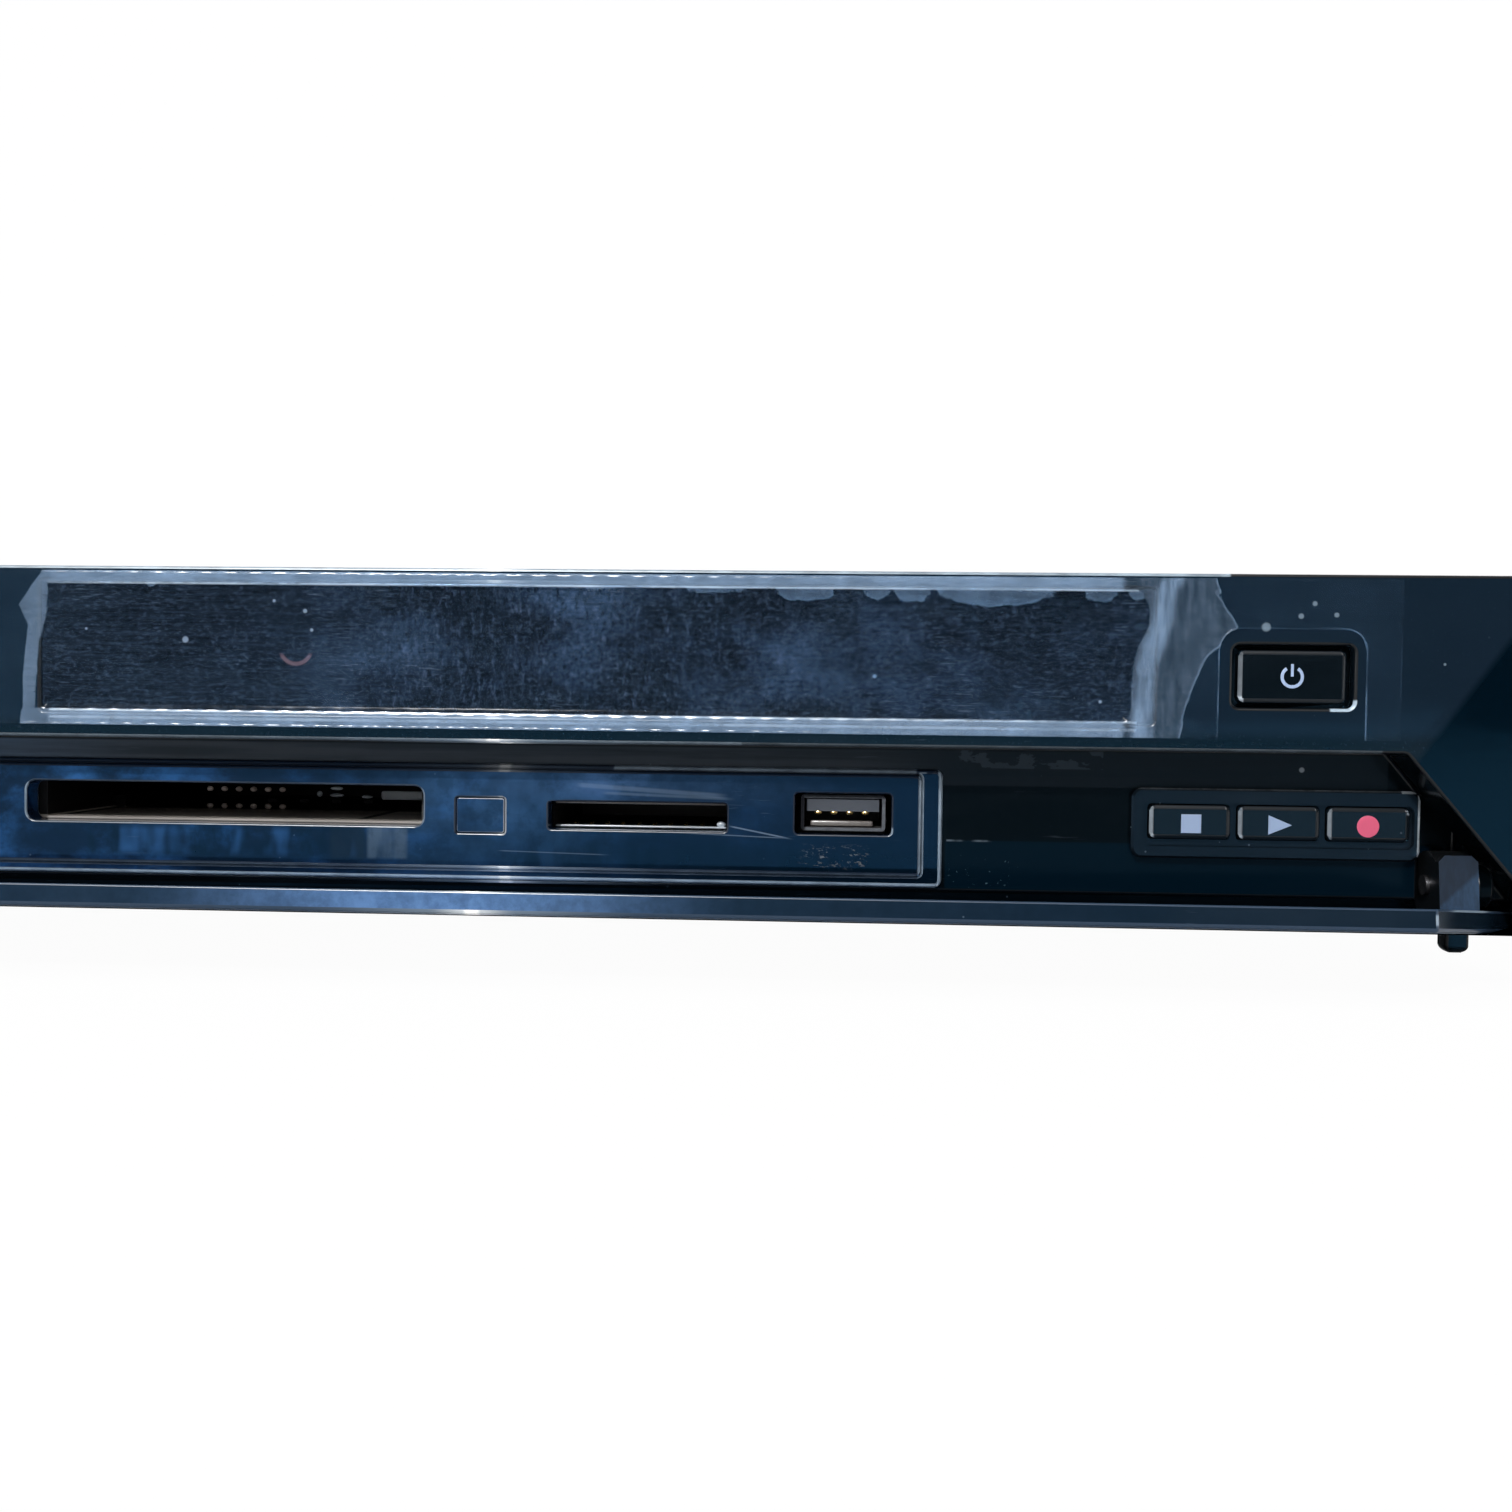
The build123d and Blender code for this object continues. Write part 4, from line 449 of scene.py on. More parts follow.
# %% Door and keys
door_look = finishes["door_gloss"] = gloss("door_gloss", (14, 27, 38), (95, 160, 220), 0.45, 0.09)
mottled = door_look.blobs(3.0, 0.3, 0.7, 5.0, 0.7, (0.55, 1.0))
# Painted reflection of the sun: a mottled pale glow centred at x 53, and a faint one across the door.
door_look.lay((66, 92, 126), door_look.hump(0, 20, 210), mottled, 0.14)
door_look.lay((112, 152, 208), door_look.hump(0, 53, 46), mottled, 0.66)
plate_look = finishes["recess_black"] = gloss("recess_black", (13, 20, 26), (110, 165, 210), 0.3, 0.12)
# Painted highlights: pale lines along the key plate's right edge and top right corner, and faint along its
# top.
uneven_highlight = plate_look.blobs(2.0, 0.3, 0.6, 4.0, 0.6, (0.5, 1.0))
for *places, share in (
    (196.0, 197.0, 19.0, 28.6, 0.9), (193.6, 197.0, 28.35, 29.0, 0.6), (154.0, 196.0, 28.5, 29.0, 0.12)
):
    plate_look.lay((206, 216, 224), plate_look.patch(*places, 0.1), uneven_highlight, share)
finishes["key_black"] = gloss("key_black", (6, 11, 15), (120, 175, 215), 0.42, 0.09, 0.5)
print("gloss finishes", list(finishes))

# %% [markdown]
# ## Smoked window
# The window is a sheet of dark acrylic. Under the film it shows fine level lines, paler cloudy patches that
# are strongest around x 84, and a crackle of dried glue near its middle. Stretched noises of several
# sizes lighten and darken it. A worn arc and a few bright specks come last.

# %% Smoked acrylic
smoked = finishes["smoked_window"] = Finish(
    "smoked_window", (9, 15, 23), 0.14, Specular_IOR_Level=0.35, Specular_Tint=linear(130, 175, 220))
blobs, noise, hump, fade = smoked.blobs, smoked.noise, smoked.hump, smoked.fade
level_lines = blobs(0.32, 0.4, 0.8, 3.0, 0.7, stretch=(0.03, 1, 1))
clouds = blobs(17.0, 0.42, 0.72, 5.0, 0.62, stretch=(0.8, 1, 1))
crackle = noise(1.1, 6.0, 0.8, stretch=(1.6, 1, 0.6))
crackled = smoked.both(fade(0, 33, 46), hump(0, 60, 75))
grit = noise(0.6, 5.0, 0.7, stretch=(0.75, 1, 1.2), turn=(0, 0.5, 0))
soft_marks = blobs(2.6, 0.54, 0.74, 6.0, 0.75, stretch=(1.2, 1, 0.8))
for color, *masks in (
    ((52, 66, 86), level_lines, fade(0, 60, 20, (0.35, 1.0)), 0.3),
    ((66, 92, 130), clouds, hump(0, 84, 90), 0.46),
    ((92, 110, 142), crackled, smoked.ramp(crackle, 0.54, 0.66), 0.34),
    ((1, 4, 9), crackled, smoked.ramp(crackle, 0.48, 0.4), 0.8),
    ((84, 100, 126), smoked.ramp(grit, 0.5, 0.7, (0.0, 0.26))),
    ((1, 4, 8), smoked.ramp(grit, 0.5, 0.34, (0.0, 0.5))),
    ((1, 4, 8), blobs(0.3, 0.5, 0.32, 3.0, 0.7, (0.0, 0.4), stretch=(0.05, 1, 1))),
    ((3, 8, 14), blobs(7.0, 0.48, 0.34, 4.0, 0.65, stretch=(0.7, 1, 1)), 0.5),
    ((84, 102, 132), soft_marks, fade(0, 40, 80, (0.35, 1.0)), 0.24),
):
    smoked.lay(color, *masks)
for turn, share in ((0.5, 0.22), (-0.7, 0.16), (1.2, 0.16)):
    smoked.lay((120, 138, 165), hairlines(smoked, 0.3, 12.0, turn), blobs(9.0, 0.5, 0.6), share)
arc_x, arc_z, arc_radius = 29.3, 48.0, 2.35
off_arc = smoked.maths("ABSOLUTE", smoked.less(smoked.away(arc_x, arc_z), arc_radius))
smoked.lay((176, 140, 150), smoked.ramp(off_arc, 0.42, 0.12), smoked.within(2, 45.0, 47.0, 0.5), 0.24)
sparks = [(12.5, 49.1, 0.6), (31.7, 50.7, 0.32), (30.7, 53.5, 0.4), (26.0, 55.0, 0.3), (-2.7, 50.6, 0.25)]
smoked.lay((150, 168, 190), smoked.spots([*sparks, (147.9, 41.4, 0.3)]), 0.55)
smoked.feed("Roughness", smoked.ramp(clouds, 0.0, 1.0, (0.12, 0.28)))

# %% [markdown]
# ## Plain mouldings, metals and rubber
# The other pieces need fewer words. A plastic moulding has a fine grain, sheet steel has a directional
# brush, a zinc coat has large dull crystals, and textured paint is a field of small bumps. One function
# makes each kind, and its arguments say how coarse the pattern is.


# %% Moulded, painted and metal finishes
def grained(name, color, roughness=0.55, grain=0.35, depth=0.02, **more):
    """Plastic or rubber with a fine moulded grain and slightly uneven colour."""
    finish = Finish(name, color, roughness, **more)
    fine = finish.noise(grain, 4.0, 0.6)
    finish.lay([c * 0.72 for c in color], finish.blobs(30.0, 0.3, 0.7, to=(0.0, 0.5)))
    finish.feed("Roughness", finish.ramp(fine, 0.3, 0.7, (roughness - 0.08, roughness + 0.1)))
    finish.bump(fine, depth)
    return finish


def sheet_metal(name, color, roughness=0.35, crystals=0.0, brush=(1, 1, 1)):
    """Steel or alloy: a fine brush along one way and, for zinc, crystals with their own brightness."""
    finish = Finish(name, color, roughness, metallic=1.0)
    streaks = finish.noise(0.5, 3.0, 0.6, stretch=brush)
    shade = finish.ramp(streaks, 0.3, 0.7, (0.0, 0.35))
    if crystals:
        shade = finish.total(shade, finish.both(finish.by_cell(crystals), 0.4))
    finish.lay([c * 0.7 for c in color], shade)
    finish.feed("Roughness", finish.ramp(streaks, 0.3, 0.7, (roughness - 0.06, roughness + 0.1)))
    finish.bump(streaks, 0.01)
    return finish


def textured_paint(name, color, roughness=0.5):
    """Powder-like paint: rounded bumps under a millimetre across."""
    finish = Finish(name, color, roughness, Specular_IOR_Level=0.45)
    finish.bump(finish.cells(0.55, feature="SMOOTH_F1"), 0.05, 0.8)
    finish.lay([c * 1.5 + 8 for c in color], finish.blobs(40.0, 0.45, 0.75, 5.0, 0.6, (0.0, 0.3)))
    return finish


mouldings = dict(
    tray_black=((24, 24, 27), 0.5, 0.3),
    frame_black=((30, 30, 32), 0.6),
    belt_rubber=((16, 16, 17), 0.7, 0.25),
    foot_rubber=((22, 22, 23), 0.75, 0.3),
    jack_black=((20, 20, 22), 0.45, 0.4, 0.01),
    jack_yellow=((222, 178, 40), 0.42, 0.4, 0.01),
    jack_white=((214, 214, 206), 0.42, 0.4, 0.01),
    jack_red=((188, 40, 38), 0.42, 0.4, 0.01),
    chip_black=((26, 26, 28), 0.5, 0.15, 0.01),
    ribbon_white=((222, 226, 230), 0.4, 0.3, 0.004),
    core_ferrite=((64, 60, 55), 0.6, 0.3),
    can_sleeve=((28, 30, 48), 0.3, 0.5, 0.005),
    mark_pale=((160, 184, 222), 0.45, 0.3, 0.003),
    mark_red=((236, 78, 122), 0.45, 0.3, 0.003),
    bright_leaf=((178, 188, 196), 0.4, 0.5, 0.01),
    pale_contact=((205, 190, 182), 0.4, 0.5, 0.01),
    dull_lip=((110, 104, 100), 0.35, 0.5, 0.02),
)
metals = dict(
    zinc_sheet=((205, 208, 210), 0.36, 9.0),
    socket_steel=((214, 214, 214), 0.2, 0.0, (1, 0.05, 1)),
    alloy=((200, 202, 205), 0.4, 0.0, (1, 0.1, 1)),
    gold_plate=((222, 190, 128), 0.25),
    bright_steel=((196, 198, 202), 0.22),
    screw_black=((52, 52, 54), 0.4),
)
for make, table in ((grained, mouldings), (sheet_metal, metals)):
    finishes.update({name: make(name, *settings) for name, settings in table.items()})
finishes["gear_white"] = grained("gear_white", (226, 224, 214), 0.45, 0.6, 0.005, Subsurface_Weight=0.1)
finishes["cover_paint"] = textured_paint("cover_paint", (24, 25, 28))
print("finishes so far", len(finishes))

# %% [markdown]
# ## Finishes that change over a piece
# The hinge lugs have a face painted paler than their black sides, as painted reflection, and a painted
# diagonal shadow across it, so their colour follows the way the surface faces. The card reader is black
# inside; its brown-grey floor is painted much paler, as painted light, and its two grooves are painted dark
# strips of shade.
# The two front sockets are bright steel only at their rim: deeper in they are painted black, as painted
# shade. All of this follows depth and height.

# %% Hinge lugs, card reader and front sockets
lug = finishes["arm_plastic"] = Finish("arm_plastic", (5, 8, 11), 0.35, Specular_IOR_Level=0.2)
facing = lug.node("SeparateXYZ", {0: lug.node("TexCoord").outputs["Normal"]}).outputs[1]
# Painted reflection: the face that looks forward is paler than the black sides.
front_side = lug.ramp(facing, -0.75, -0.92)
lug.lay((40, 64, 90), front_side, lug.blobs(1.2, 0.3, 0.7, 4.0, 0.6, (0.6, 1.0), stretch=(1.5, 1, 0.5)))
# Painted shadow: above a slanting line, the upper part of that face is darker.
slope = lug.less(lug.axis(2), lug.both(lug.maths("ABSOLUTE", lug.axis(0)), 0.9))
lug.lay((14, 22, 33), front_side, lug.ramp(slope, -165.6 * mm, -164.6 * mm), 0.7)

reader = finishes["reader_grey"] = Finish("reader_grey", (4, 4, 5), 0.5, Specular_IOR_Level=0.25)
floor_z, floor_end = 21.5, 33.0
within = reader.within
floor_tone = reader.blobs(5.0, 0.3, 0.7, 4.0, 0.6, (0.7, 1.0), stretch=(0.3, 1, 1))
on_floor = reader.both(within(2, floor_z - 0.3, floor_z + 0.2, 0.1), within(1, -5, floor_end, 2.0))
# Painted light: the floor is painted much paler than its own brown-grey, as little light reaches it.
reader.lay((182, 174, 166), on_floor, floor_tone)
# Painted shade: the two grooves are dark strips on the floor.
for groove in (-13.5, 34.7):
    reader.lay((5, 5, 6), within(0, groove - 0.7, groove + 0.7, 0.15), within(1, 15.5, 40, 0.4), 0.9)


def front_socket(name, rim_depth):
    """Bright steel at the rim of a socket, painted black from a depth inwards as painted shade."""
    finish = Finish(name, (96, 100, 106), 0.3, metallic=1.0)
    finish.lay((48, 50, 56), finish.blobs(0.4, 0.4, 0.7, 3.0, 0.6, (0.0, 0.5), stretch=(0.2, 1, 1)))
    inside = finish.fade(1, rim_depth, rim_depth + 0.35)
    finish.lay((3, 4, 6), inside)
    finish.feed("Metallic", finish.ramp(inside, 0.0, 1.0, (1.0, 0.0)))
    finish.feed("Roughness", finish.ramp(inside, 0.0, 1.0, (0.24, 0.5)))
    return finish


memory, usb = front_socket("memory_socket_steel", 11.75), front_socket("usb_steel", 10.5)
# Painted shade: the memory socket is darkened over its front 13 mm.
memory.lay((12, 13, 16), memory.within(1, 0, 13, 0.2), 0.85)
usb.lay((112, 118, 128), usb.patch(105.4, 116.6, 24.15, 26.1, 0.1), usb.within(1, 11.0, 11.4, 0.2))
# Painted shade: inside the USB shell, its left side and top are darkened.
shaded = usb.maths("MAXIMUM", usb.fade(0, 105.6, 104.9), usb.fade(2, 26.0, 26.6))
usb.lay((8, 10, 14), usb.within(1, 0, 11.0, 0.2), shaded, 0.92)
of_their_own = {"sd_socket": memory, "usb_socket": usb, "hinge_pins": finishes["screw_black"]}
print("lug, reader and sockets made")

# %% [markdown]
# ## Circuit boards and clear things
# A board is glass-fibre laminate under a green lacquer. Its copper tracks show through as slightly lighter
# lines that run straight and turn square. Stripes that follow a coarse cell pattern give such runs without
# any drawing. Clear plastic and glass are Principled shaders that let a share of the light through. Small
# lenses and the display tube stay dark, because little light comes back from behind them.

# %% Lacquered board
board = finishes["board_green"] = Finish("board_green", (18, 74, 44), 0.32)
way = board.maths("GREATER_THAN", board.by_cell(7.0), 0.5)
track_pitch = 1.6 * mm
across, along = [
    board.maths("PINGPONG", board.maths("DIVIDE", board.axis(k), track_pitch), 0.5) for k in (0, 1)]
lane = board.total(board.both(way, across), board.both(board.less(1.0, way), along))
tracks = board.ramp(lane, 0.2, 0.26)
board.lay((46, 118, 68), tracks, 0.6)
board.bump(tracks, 0.03)

# %% Glass
for name, color, rough, clear in (
    ("lens_clear", (150, 170, 215), 0.02, 0.9),
    ("lens_dark", (16, 28, 56), 0.06, 0.35),
    ("display_glass", (20, 34, 34), 0.05, 0.5),
):
    glass = finishes[name] = Finish(name, color, rough, Transmission_Weight=clear)
    glass.feed("Roughness", glass.blobs(6.0, 0.3, 0.7, to=(rough, rough + 0.05)))

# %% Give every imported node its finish
slots = {part["node"]: part["material_slot"] for part in frame["record"]["subparts"]}
for name, obj in frame["nodes"].items():
    obj.data.materials.clear()
    if slots[name] in finishes:
        obj.data.materials.append(of_their_own.get(name, finishes[slots[name]]).material)
print("nodes without a finish", [n for n in slots if slots[n] not in finishes])

# %% [markdown]
# ## Eased edges
# No moulded edge is perfectly sharp: it is rounded by a few tenths of a millimetre, and that thin round
# strip is what catches the light as a bright line. The imported meshes are loose triangles, so they are first
# welded, then their flat triangles are joined into whole faces, and then a bevel rounds every edge that
# turns sharply, or on a key the edges of its front face alone. The bevel may give its strips a finish of
# their own, with painted highlights along the stretches that face the light and a painted glint where the
# edge mirrors the sun.

# %% The finish of a rounded edge
glint_x = 59.2


def edge_finish(name, color, pale, glint, stretches):
    """A dark gloss with painted highlights along the given stretches, each two places across, two heights and
    a share, and a painted glint at glint_x.
    """
    finish = Finish(name, color, 0.3, Specular_IOR_Level=0.22)
    uneven = finish.blobs(5.0, 0.3, 0.7, 4.0, 0.6, (0.55, 1.0))
    for *places, share in stretches:
        finish.lay(pale, finish.patch(*places, 0.2), uneven, share)
    long_edge = finish.ramp(finish.within(2, 16, 31.6, 0.5), 0.0, 1.0, (1.0, 0.2))
    finish.lay(pale, finish.hump(0, glint_x, 26.0), long_edge, 0.3)
    finish.lay((240, 244, 246), finish.hump(0, glint_x, 3.2 * glint), long_edge, 0.6)
    finish.lay((255, 255, 252), finish.ramp(finish.hump(0, glint_x, glint), 0.2, 0.8), long_edge)
    return finish.material


card_left, card_right = -15.95, 46.65
panel_right, panel_bottom = span("slot_panel", 0)[1], span("slot_panel", 2)[0]
edges = {
    "slot_panel": edge_finish("slot_panel_edge", (16, 30, 48), (176, 196, 214), 1.7, [
        (card_left - 0.7, card_left + 0.3, 20.8, 27.6, 0.8),
        (card_left, card_right, 27.1, 27.9, 0.1),
        (card_left, card_right, 20.5, 21.3, 0.16),
        (card_right - 0.3, card_right + 0.7, 20.8, 27.6, 0.36),
        (122.4, 123.5, 14.2, 30.4, 0.6),
        (panel_right - 0.7, panel_right + 0.3, 13.0, 31.0, 0.75),
        (-195.0, 127.0, panel_bottom - 0.4, panel_bottom + 0.6, 0.85),
        (-195.0, 123.0, 14.2, 15.0, 0.2),
        (76.0, 122.0, 30.2, 31.3, 0.35),
        (118.2, 119.0, 20.6, 22.0, 0.8),
    ]),
    "indicator_window": edge_finish("lens_edge", (24, 40, 64), (190, 205, 222), 1.2, [
        (51, 60, 20, 21.4, 0.2),
    ]),
    "door_panel": edge_finish("door_edge", (40, 58, 78), (176, 194, 210), 2.0, [
        (-206, 206, 11.6, 13.0, 0.62),
        (88, 130, 11.6, 13.0, 0.6),
    ]),
    "front_bezel": edge_finish("front_edge", (5, 10, 15), (172, 192, 208), 2.0, [
        (-192, 96, 34.2, 35.4, 0.26),
        (96, 188, 34.2, 35.4, 0.12),
        (-215, 166, 58.8, 60.6, 0.75),
        (183.2, 184.6, 40.2, 42.0, 0.95),
        (180.5, 184.4, 40.0, 41.2, 0.95),
    ]),
    "keys": edge_finish("key_edge", (13, 21, 28), (196, 208, 220), 0.1, [
        (156.4, 157.3, 20.5, 26.4, 0.55),
        (169.5, 170.4, 20.5, 26.4, 0.5),
        (182.6, 183.5, 20.5, 26.4, 0.4),
        (156.4, 157.4, 20.5, 21.8, 0.95),
        (169.5, 170.5, 20.5, 21.8, 0.9),
        (194.4, 195.2, 25.2, 26.4, 0.8),
        (167.2, 168.2, 41.0, 49.5, 0.3),
        (167.2, 168.3, 41.0, 42.4, 0.95),
    ]),
}

# %% The recess gets a darker finish than the moulding around it, as painted shade
moulding = frame["nodes"]["front_bezel"].data
centres = np.empty(len(moulding.polygons) * 3, np.float32)
moulding.polygons.foreach_get("center", centres)
x, depth, z = centres.reshape(-1, 3).T / mm
depth = depth - front / mm
in_recess = (depth > 0.2) & (depth < 14) & (z > 11.5) & (z < 34.6) & (abs(x) < 209)
moulding.materials.append(recess.material)
moulding.polygons.foreach_set("material_index", in_recess.astype(np.int32))
print("front_bezel has", int(in_recess.sum()), "faces of", len(in_recess), "in its second finish")
indicator = frame["nodes"]["indicator_window"].data
indicator.materials.clear()
indicator.materials.append(slot_look.material)


# %% Round the edges that the camera is close to
def ease(node, width, edge=None, face_only=False):
    """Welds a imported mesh, joins its flat faces, rounds its sharp edges and weighs its normals."""
    obj = frame["nodes"][node]
    obj.data.polygons.foreach_set("use_smooth", np.ones(len(obj.data.polygons), bool))
    weld = obj.modifiers.new("weld", "WELD")
    weld.merge_threshold = 0.001 * mm
    flat = obj.modifiers.new("flat faces", "DECIMATE")
    flat.decimate_type, flat.angle_limit, flat.delimit = "DISSOLVE", radians(0.4), {"MATERIAL"}
    bevel = obj.modifiers.new("eased edges", "BEVEL")
    bevel.width, bevel.segments, bevel.limit_method = width * mm, 3, "ANGLE"
    bevel.angle_limit, bevel.use_clamp_overlap, bevel.miter_outer = radians(28), False, "MITER_ARC"
    if face_only:
        places = np.empty(len(obj.data.vertices) * 3, np.float32)
        obj.data.vertices.foreach_get("co", places)
        near = np.flatnonzero(places[1::3] < places[1::3].min() + 0.05 * mm).tolist()
        obj.vertex_groups.new(name="front face").add(near, 1.0, "REPLACE")
        bevel.limit_method, bevel.vertex_group = "VGROUP", "front face"
    if edge:
        obj.data.materials.append(edge)
        bevel.material = len(obj.data.materials) - 1
    obj.modifiers.new("weighed normals", "WEIGHTED_NORMAL").weight = 100


widths = dict(slot_panel=0.28, door_panel=0.3, front_bezel=0.45, tray_front=0.25,
              display_window=0.15, indicator_window=0.14)
for name, width in widths.items():
    ease(name, width, edges.get(name))
for name in ("power_button", "open_button", "stop_button", "play_button", "record_button"):
    ease(name, 0.35, edges["keys"], face_only=True)
print("eased", [name for name, obj in frame["nodes"].items() if "eased edges" in obj.modifiers])

# %% [markdown]
# ## Protective film
# The film is a thin clear sheet. It lies flat on the panel and on the window, which sits a little deeper,
# and bridges the step between them. There it has let go, and trapped air and dried glue turn it pale. The
# pale area is easiest to describe as a few outlines in millimetres. Each point of a fine grid stores how
# far it lies inside the nearest outline, and the shader turns that distance into a crisp edge. The same
# distance lifts the mesh.


# %% How far a point lies inside an outline
def depth_inside(x, z, outline):
    """Signed distance to a closed outline: the nearest edge, positive inside by a ray's crossings."""
    corners = np.array(outline, float)
    nearest = np.full(x.shape, 1e9)
    inside = np.zeros(x.shape, bool)
    for (ax, az), (bx, bz) in zip(corners, np.roll(corners, -1, axis=0)):
        share = ((x - ax) * (bx - ax) + (z - az) * (bz - az)) / ((bx - ax) ** 2 + (bz - az) ** 2)
        share = np.clip(share, 0, 1)
        nearest = np.minimum(nearest, np.hypot(x - ax - share * (bx - ax), z - az - share * (bz - az)))
        crosses = (az > z) != (bz > z)
        inside ^= crosses & (x < ax + (z - az) * (bx - ax) / np.where(bz == az, 1e-9, bz - az))
    return np.where(inside, nearest, -nearest)


# %% Where the film has let go
film_low, film_high = span("protective_film", 2)
film_left, film_right = span("protective_film", 0)
air_top = [(-8.0, 61), (-8.3, 57.5), (153.8, 57.3), (165, 57), (163.5, 61)]
air_left = [
    (-8.0, 61), (-12.8, 54.1), (-11.4, 51.2), (-12.1, 44), (-12.4, 36.3), (-10.4, 38.4),
    (-9.6, 48.5), (-8.4, 53), (-8.3, 57.5),
]
air_low = [(-12.5, 38.6), (159.8, 38.5), (159.0, 35), (-12.7, 35)]
air_right = [
    (153.4, 57.6), (154.6, 54.5), (154.5, 52.6), (152.9, 48.9), (152.3, 46.0), (152.2, 42), (151.9, 38.9),
    (152.0, 36), (159.0, 35), (159.5, 38.9), (160.7, 42.7), (161.9, 46.0), (163.2, 48.3), (165.0, 49.7),
    (167.4, 52.2), (162.3, 60), (156, 60),
]
drips = [
    (105.0, 4.6, 1.9), (115.5, 2.2, 1.5), (120.6, 2.8, 1.9), (132.5, 8.5, 2.4), (147.8, 2.4, 1.6),
    (153.0, 1.6, 1.3), (7.5, 0.7, 0.7), (75.0, 3.0, 0.5), (92.0, 5.0, 0.7),
]
drip_line = 57.4


def air(x, z):
    """Millimetres inside the loose area: the depth inside the deepest of its outlines."""
    outlines = (air_top, air_left, air_low, air_right)
    return np.max([depth_inside(x, z, outline) for outline in outlines], axis=0)


def drip_depth(x, z):
    """Millimetres inside the nearest of the round drips that hang under the top band."""
    return np.max([(1 - np.hypot((x - across) / half, (z - drip_line) / drop)) * drop
                   for across, half, drop in drips], axis=0)


def strand(x, z):
    """How near a point is to the core of the right-hand strand: 1 on its line, 0 a width away."""
    core_z = [35.0, 39.0, 43.0, 46.5, 49.5, 53.0, 57.5, 60.0]
    core_x = [154.0, 153.6, 153.9, 154.2, 155.3, 156.6, 157.0, 158.5]
    return np.clip(1 - abs(x - np.interp(z, core_z, core_x)) / 2.2, 0, 1)


# %% The film's grid
notch_half, notch_top, notch_round = 10.35, 52.1, 3.0
notch_x = middle("power_button", 0) - 0.15
spring_line = notch_top - notch_round
window_face, film_play, film_bulge = span("display_window", 1)[0], 0.03, 0.22
coarse_cell, fine_cell, fine_from = 2.5, 0.5, window_x[0] - 8.0
nearly = 1e-6


def notch_floor(x):
    """The height at which the film starts: an arch over the two buttons, and its spring line elsewhere."""
    away = np.minimum(abs(x - notch_x), abs(x + notch_x))
    along_arc = np.clip(away - (notch_half - notch_round), 0, notch_round)
    arch = spring_line + np.sqrt(notch_round**2 - along_arc**2)
    return np.where(away < notch_half - nearly, arch, spring_line)


def film_depth(x, z, loose):
    """Depth of the film: on the panel, on the window behind it, or bulging over the step."""
    on_window = (x > window_x[0] + 2) & (x < window_x[1] - 2) & (z > window_z[0] + 1) & (z < window_z[1] - 1)
    resting = np.where(on_window, window_face - film_play, -film_play)
    lifted = np.clip(loose / 0.9 + 0.8, 0, 1)
    lifted = lifted * lifted * (3 - 2 * lifted)
    ripple = 0.06 * np.sin(x * 1.7 + 3 * np.sin(z * 0.9)) * lifted
    return resting * (1 - lifted) - (film_bulge + ripple) * lifted


coarse, fine = np.arange(film_left, fine_from, coarse_cell), np.arange(fine_from, film_right - 0.1, fine_cell)
sides = [s * notch_x + t * notch_half for s in (-1, 1) for t in (-1, 1)]
columns = np.unique(np.round(np.concatenate([coarse, fine, sides, [film_right]]), 4))
upper_rows = np.linspace(0, 1, 22)[None, :]
lower_rows = np.linspace(0, 1, 27)[None, :]
floor = notch_floor(columns)[:, None]
upper = (columns[:, None] + 0 * upper_rows, floor + (film_high - floor) * upper_rows)
lower_parts = [
    columns[columns <= -notch_x - notch_half + nearly],
    columns[(columns >= notch_half - notch_x - nearly) & (columns <= notch_x - notch_half + nearly)],
    columns[columns >= notch_x + notch_half - nearly],
]
lower = [(c[:, None] + 0 * lower_rows, film_low + (spring_line - film_low) * lower_rows) for c in lower_parts]
grids = [at(x, film_depth(x, z, air(x, z)), z) for x, z in [upper, *lower]]
film = grid_mesh("clear_film", grids, closed=(False, False))
print("film points", len(film.data.vertices))

# %% Join the film's strips and store the distances
work = bmesh.new()
work.from_mesh(film.data)
bmesh.ops.remove_doubles(work, verts=work.verts, dist=2e-6)
bmesh.ops.recalc_face_normals(work, faces=work.faces)
if sum(face.normal.y for face in work.faces) > 0:
    bmesh.ops.reverse_faces(work, faces=work.faces)
work.to_mesh(film.data)
work.free()
count = len(film.data.vertices)
places = np.empty(count * 3)
film.data.vertices.foreach_get("co", places)
places = places.reshape(-1, 3) / mm
film_x, film_z = places[:, 0], places[:, 2]


def film_edge(x, z):
    """Millimetres from the film's outer outline."""
    return np.minimum(np.minimum(x - film_left, film_right - x), np.minimum(z - film_low, film_high - z))


def notch_edge(x, z):
    """Millimetres from the two cut-outs over the buttons."""
    away = np.minimum(abs(x - notch_x), abs(x + notch_x)) - notch_half
    over = z - notch_top
    return np.hypot(np.maximum(away + notch_round, 0), np.maximum(over + notch_round, 0)) - notch_round


fields = {"loose": air, "edge": film_edge, "notch": notch_edge, "drip": drip_depth, "strand": strand}
for name, field in fields.items():
    values = field(film_x, film_z)
    layer = film.data.attributes.new(name, "FLOAT", "POINT")
    layer.data.foreach_set("value", np.clip(values, -4, 4).astype(np.float32))
film.data.shade_smooth()
thick = film.modifiers.new("film thickness", "SOLIDIFY")
thick.thickness, thick.offset = 0.08 * mm, 1.0
print("film joined to", count, "points")

# %% Hazy film
hazy = Finish("clear_film", (118, 162, 208), 0.2, Specular_IOR_Level=0.5)
blobs, ramp, both, less, stored = hazy.blobs, hazy.ramp, hazy.both, hazy.less, hazy.stored


def roughened(field, size, detail, rough, reach):
    """A stored distance with noise about 0 added to it, so that its outline wanders."""
    return hazy.total(stored(field), both(less(hazy.noise(size, detail, rough), 0.5), reach))


